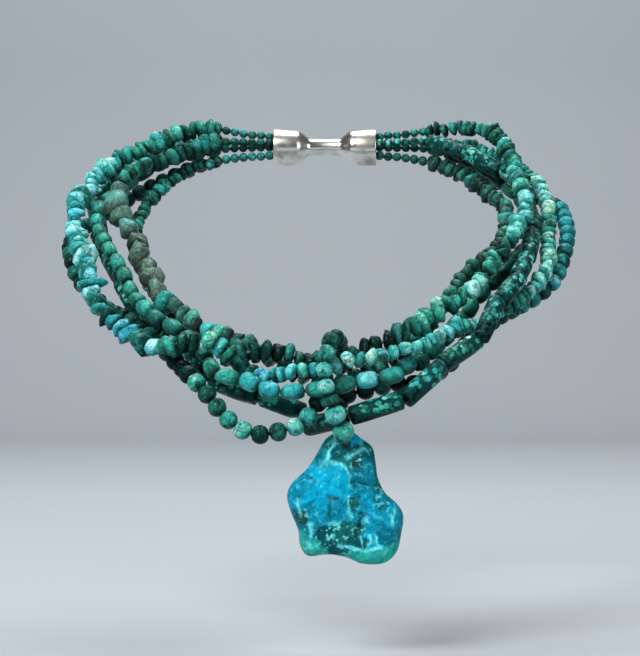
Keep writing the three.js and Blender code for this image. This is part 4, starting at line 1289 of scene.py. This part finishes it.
def slab_colours(x, z, colours):
    """Colour and speckle of the face. Places are first moved by slow waves so that patches have natural
    edges; then the patch nearest for its reach gives the colour, and seams are laid over it, among them the
    painted highlights along the ridges and the painted shade in the grooves."""
    moved_x, moved_z = x, z
    for row in EDGE_WAVES:
        moved_x = moved_x + row["height"] * wavy(x, z, row["x_seed"], row["length"])
        moved_z = moved_z + row["height"] * wavy(x, z, row["z_seed"], row["length"])
    off_x = moved_x[..., None] - column_of(SLAB_PATCHES, "x") * SLAB_WIDTH
    off_z = moved_z[..., None] - column_of(SLAB_PATCHES, "z") * SLAB_HEIGHT
    far = np.hypot(off_x, off_z) / (column_of(SLAB_PATCHES, "reach") * SLAB_WIDTH)
    weight = np.exp(-PATCH_EDGE * (far - far.min(axis=-1, keepdims=True)))
    weight /= weight.sum(axis=-1, keepdims=True)
    shade = np.array([list(getattr(colours, row["colour"])) for row in SLAB_PATCHES])
    speckle = weight @ column_of(SLAB_PATCHES, "speckle")
    colour = weight @ shade
    mixed_x = moved_x * SEAM_WANDER + x * (1 - SEAM_WANDER)
    mixed_z = moved_z * SEAM_WANDER + z * (1 - SEAM_WANDER)
    # Seams laid over the patches: the pale and azure ones are painted highlights on the ridges, the deep ones
    # painted shade in the grooves.
    for seam in SLAB_SEAMS_AND_PAINTED_LIGHT:
        share = (SEAM_COVER * seam_share(mixed_x, mixed_z, seam))[..., None]
        colour = colour * (1 - share) + share * np.array(list(getattr(colours, seam["colour"])))
    return colour, speckle


def slab_material():
    """High polish over mixed stone: the laid-out colours, broken up by fine grain, with specks of dark
    matrix where the patch has them."""
    colours = bpy.context.scene.necklace_slab
    material, tree, shader = new_material("Polished slab")
    colour, speckle = attribute_node(tree, "shade", "Color"), attribute_node(tree, "speckle")
    place = add_node(tree, "ShaderNodeTexCoord").outputs["Object"]
    scaled = vector_node(tree, "SCALE", {0: place, "Scale": 1 / MM})
    web = web_node(tree, scaled, size=1.5, width=0.16, warp=1.2)
    grain = noise_node(tree, scaled, 0.62, 5.0, roughness=0.6).outputs["Fac"]
    cloud = noise_node(tree, scaled, 0.28, 5.0, roughness=0.6).outputs["Fac"]
    shadow = map_range(tree, cloud, 0.56, 0.36, 0.0, 0.35)
    lighter = map_range(tree, grain, 0.54, 0.70, 0.0, 0.22)
    flecks = math_node(tree, "MULTIPLY", speckle, map_range(tree, grain, 0.55, 0.62, 0.0, 0.8))
    darker = map_range(tree, grain, 0.46, 0.30, 0.0, 0.60)
    body = mix_colour(tree, shadow, colour, colours.deep)
    body = mix_colour(tree, darker, body, colours.deep)
    body = mix_colour(tree, math_node(tree, "ADD", lighter, flecks, clamp=True), body, colours.pale)
    specks = math_node(tree, "MAXIMUM", web.outputs["Web"], map_range(tree, cloud, 0.46, 0.40))
    mask = math_node(tree, "MULTIPLY", specks, math_node(tree, "MULTIPLY", speckle, 0.55), clamp=True)
    height = math_node(tree, "SUBTRACT", math_node(tree, "MULTIPLY", grain, 0.3), mask)
    colour = mix_colour(tree, mask, body, colours.black)
    polish(tree, shader, colour, mask, (0.26, 0.42), height, (0.55, 0.0004))
    return material


def drilled(piece, cutter):
    """The piece with the cutter's shape taken out of it for good."""
    boolean = piece.modifiers.new("Drilled hole", "BOOLEAN")
    boolean.operation = "DIFFERENCE"
    boolean.solver = "EXACT"
    boolean.object = cutter
    shown = piece.evaluated_get(bpy.context.evaluated_depsgraph_get())
    cut = bpy.data.meshes.new_from_object(shown)
    piece.modifiers.clear()
    whole, piece.data = piece.data, cut
    bpy.data.meshes.remove(whole)
    bpy.data.meshes.remove(cutter.data)
    return piece


class NECKLACE_OT_slab(Operator):
    """The polished freeform slab with its drilled hole"""

    bl_idname = "necklace.slab"
    bl_label = "Stone slab"

    def execute(self, context):
        colours = context.scene.necklace_slab
        ripple = context.scene.necklace_sizes.ripple / MM
        steps, rings = SLAB_STEPS, SLAB_RINGS
        edge, middle = slab_frame_points(steps)
        inward = np.linspace(0, LAST_RING, rings) ** RIM_CROWDING
        inward = np.concatenate([inward[::-1], inward[1:]])[:, None]
        front = np.concatenate([np.ones(rings), -np.ones(rings - 1)])[:, None]
        x = edge[:, 0] + (middle[0] - edge[:, 0]) * inward
        z = edge[:, 1] + (middle[1] - edge[:, 1]) * inward
        depth = (1 - (1 - np.clip(inward / RIM_REACH, 0, 1)) ** RIM_BEND) ** RIM_FULLNESS
        rise = np.where(front > 0, slab_rise(x, z, ripple), 0.25 * ripple * wavy(x, z, 33, 9.0))
        y = -front * depth * (SLAB_THICKNESS / 2 + rise)
        shade, speckle = slab_colours(x, z, colours)
        points = np.stack([x - middle[0] + HOLE_X, y + SLAB_CENTRE_Y, z + HOLE_Z], axis=-1)
        slab = make_mesh("polished_slab", points.reshape(-1, 3), tube_faces(1, 2 * rings - 1, steps),
                         [("shade", shade.reshape(-1, 3)), ("speckle", speckle.ravel())])

        sides = 40
        turn = -2 * np.pi * np.arange(sides) / sides
        ring = SLAB_HOLE_RADIUS * np.stack([np.cos(turn), np.zeros(sides), np.sin(turn)], axis=-1)
        ends = np.array([[[0.0, -SLAB_THICKNESS, 0.0]], [[0.0, SLAB_THICKNESS, 0.0]]])
        drill = (ring[None] + ends + [HOLE_X, SLAB_CENTRE_Y, HOLE_Z]).reshape(-1, 3)
        # The bore's walls are coloured deep teal: painted shade inside the drilled hole.
        shade = np.tile(list(colours.deep), (2 * sides, 1))
        cutter = make_mesh("drill", drill, tube_faces(1, 2, sides),
                           [("shade", shade), ("speckle", np.zeros(2 * sides))])
        drilled(slab, cutter)
        slab.data.set_sharp_from_angle(angle=math.radians(50))
        slab.data.materials.clear()
        dress(slab, slab_material(), "pendant", "slab_stone", "pendant_slab")
        return {"FINISHED"}


def clasp_profile():
    """Right half of the clasp's side view, radius over place along X: a straight waist, a smooth flare to
    the cup, a rounded lip, and the cup's bore with a rounded floor."""
    floor, outer = CLASP_HALF_LENGTH - CUP_DEPTH, CUP_RADIUS + CUP_WALL
    flare = np.linspace(0, 1, 9)
    share = flare * flare * (3 - 2 * flare)
    lip = np.linspace(0.5, -0.5, 9) * np.pi
    bore = np.linspace(0, 0.5, 6) * np.pi
    rise = outer - CUP_FLARE_DROP - CLASP_WAIST_RADIUS
    rim, round_off = CUP_WALL / 2, CUP_FILLET
    parts = [
        (np.zeros(1), np.full(1, CLASP_WAIST_RADIUS)),
        (floor - CUP_SHOULDER + CUP_FLARE * flare, CLASP_WAIST_RADIUS + rise * share),
        (CLASP_HALF_LENGTH - rim + rim * np.cos(lip), CUP_RADIUS + rim + rim * np.sin(lip)),
        (floor + round_off - round_off * np.sin(bore), CUP_RADIUS - round_off + round_off * np.cos(bore)),
        (np.full(1, floor), np.full(1, CUP_FLOOR_HOLE)),
    ]
    return np.concatenate([np.stack(part, axis=1) for part in parts])


class NECKLACE_OT_clasp(Operator):
    """The plain barrel clasp with a cup at each end"""

    bl_idname = "necklace.clasp"
    bl_label = "Clasp"

    def execute(self, context):
        right = clasp_profile()
        profile = np.concatenate([right[:0:-1] * [-1, 1], right])
        sides = 48
        turn = 2 * np.pi * np.arange(sides) / sides
        radius = profile[:, 1, None]
        points = np.stack(np.broadcast_arrays(
            profile[:, 0, None], CLASP_Y + radius * np.cos(turn), CLASP_Z + radius * np.sin(turn)), axis=-1)
        clasp = make_mesh("barrel_clasp", points.reshape(-1, 3), tube_faces(1, len(profile), sides))
        clasp.data.set_sharp_from_angle(angle=math.radians(40))
        dress(clasp, clasp_material(), "necklace", "clasp_metal", "clasp")
        return {"FINISHED"}


def floor_material():
    """Pale matt paper with a faint uneven tone."""
    material, tree, shader = new_material("Pale paper")
    place = add_node(tree, "ShaderNodeTexCoord").outputs["Object"]
    cloud = noise_node(tree, place, 3.0, 4.0)
    colour = mix_colour(tree, cloud.outputs["Fac"], (0.335, 0.370, 0.400), (0.370, 0.405, 0.435))
    tree.links.new(colour, shader.inputs["Base Color"])
    shader.inputs["Roughness"].default_value = 0.85
    return material


def soft_light(name, place, target, size, power):
    """A square soft light that faces its target."""
    light = bpy.data.lights.new(name, "AREA")
    light.energy = power
    light.size = size
    lamp = bpy.data.objects.new(name, light)
    lamp.location = place
    lamp.rotation_euler = (Vector(target) - Vector(place)).to_track_quat("-Z", "Y").to_euler()
    bpy.context.scene.collection.objects.link(lamp)


# Soft lights: where they stand and aim, and the side of their square, in metres; power as a share of the
# main light's.
LIGHTS = table(
    "name place target size share",
    ("Key light", (-0.55, -0.95, 0.75), (0.0, -0.05, -0.04), 0.55, 1.0),
    ("Fill light", (0.9, -0.8, 0.25), (0.0, -0.05, -0.04), 0.8, 0.22),
    ("Top light", (0.0, 0.25, 1.1), (0.0, 0.0, 0.0), 0.8, 0.45),
    ("Backdrop light", (0.0, 0.6, 1.2), (0.0, 1.7, 0.0), 1.0, 0.65),
)


class NECKLACE_OT_stage(Operator):
    """Pale floor that curves up into a backdrop, soft lights and the camera"""

    bl_idname = "necklace.stage"
    bl_label = "Stage, light and camera"

    def execute(self, context):
        stage = context.scene.necklace_stage
        floor = cad_box[0].z / MM - stage.floor_drop / MM
        near, bend, depth, wide, high = -2200.0, 400.0, 1300.0, 2600.0, 1800.0
        arc = np.linspace(0, 0.5, 25) * np.pi
        run = np.concatenate([
            [(near, 0.0)], np.stack([depth + bend * np.sin(arc), bend - bend * np.cos(arc)], axis=1),
            [(depth + bend, high)]])
        across = np.array([-wide, wide])
        points = np.stack(np.broadcast_arrays(across[None], run[:, :1], floor + run[:, 1:]), axis=-1)
        row = np.arange(len(run) - 1)[:, None] * 2
        sweep = make_mesh("floor_sweep", points.reshape(-1, 3), [row + [0, 1, 3, 2]])
        sweep.data.materials.append(floor_material())

        for row in LIGHTS:
            power = stage.key_power * row["share"]
            soft_light(row["name"], row["place"], row["target"], row["size"], power)
        world = bpy.data.worlds.new("Even light")
        world.use_nodes = True
        background = world.node_tree.nodes["Background"]
        background.inputs["Color"].default_value = (0.95, 0.97, 1.0, 1)
        background.inputs["Strength"].default_value = stage.world
        context.scene.world = world

        lens = bpy.data.cameras.new("Camera")
        lens.sensor_fit = "HORIZONTAL"
        lens.sensor_width = 36.0
        lens.lens = CAMERA_FOCAL_POINTS / PICTURE_WIDTH * lens.sensor_width
        lens.clip_end = 20.0
        camera = bpy.data.objects.new("Camera", lens)
        camera.location = Vector(CAMERA_PLACE) * MM
        camera.rotation_euler = (math.pi / 2, 0.0, 0.0)
        context.scene.collection.objects.link(camera)
        context.scene.camera = camera
        context.scene.view_settings.view_transform = "Standard"
        return {"FINISHED"}


STEPS = (NECKLACE_OT_bead_strings, NECKLACE_OT_nugget_strings, NECKLACE_OT_bail, NECKLACE_OT_slab,
         NECKLACE_OT_clasp, NECKLACE_OT_stage)


class NECKLACE_PT_sidebar(Panel):
    """Lists the necklace's sizes, colours and steps"""

    bl_label = "Necklace"
    bl_idname = "NECKLACE_PT_sidebar"
    bl_space_type = "VIEW_3D"
    bl_region_type = "UI"
    bl_category = "Necklace"

    def draw(self, context):
        layout = self.layout
        for group in (context.scene.necklace_sizes, context.scene.necklace_stones,
                      context.scene.necklace_slab, context.scene.necklace_stage):
            box = layout.box()
            for prop in group.__annotations__:
                box.prop(group, prop)
        for step in STEPS:
            layout.operator(step.bl_idname)


GROUPS = {
    "necklace_sizes": NecklaceSizes,
    "necklace_stones": NecklaceStones,
    "necklace_slab": NecklaceSlab,
    "necklace_stage": NecklaceStage,
}


def register():
    for title, group in GROUPS.items():
        bpy.utils.register_class(group)
        setattr(bpy.types.Scene, title, PointerProperty(type=group))
    for kind in (*STEPS, NECKLACE_PT_sidebar):
        bpy.utils.register_class(kind)


def unregister():
    for kind in (NECKLACE_PT_sidebar, *reversed(STEPS)):
        bpy.utils.unregister_class(kind)
    for title, group in GROUPS.items():
        delattr(bpy.types.Scene, title)
        bpy.utils.unregister_class(group)


def main():
    """Builds everything on the loaded frame."""
    register()
    bpy.ops.necklace.bead_strings()
    bpy.ops.necklace.nugget_strings()
    bpy.ops.necklace.bail()
    bpy.ops.necklace.slab()
    bpy.ops.necklace.clasp()
    bpy.ops.necklace.stage()


if __name__ == "__main__":
    main()
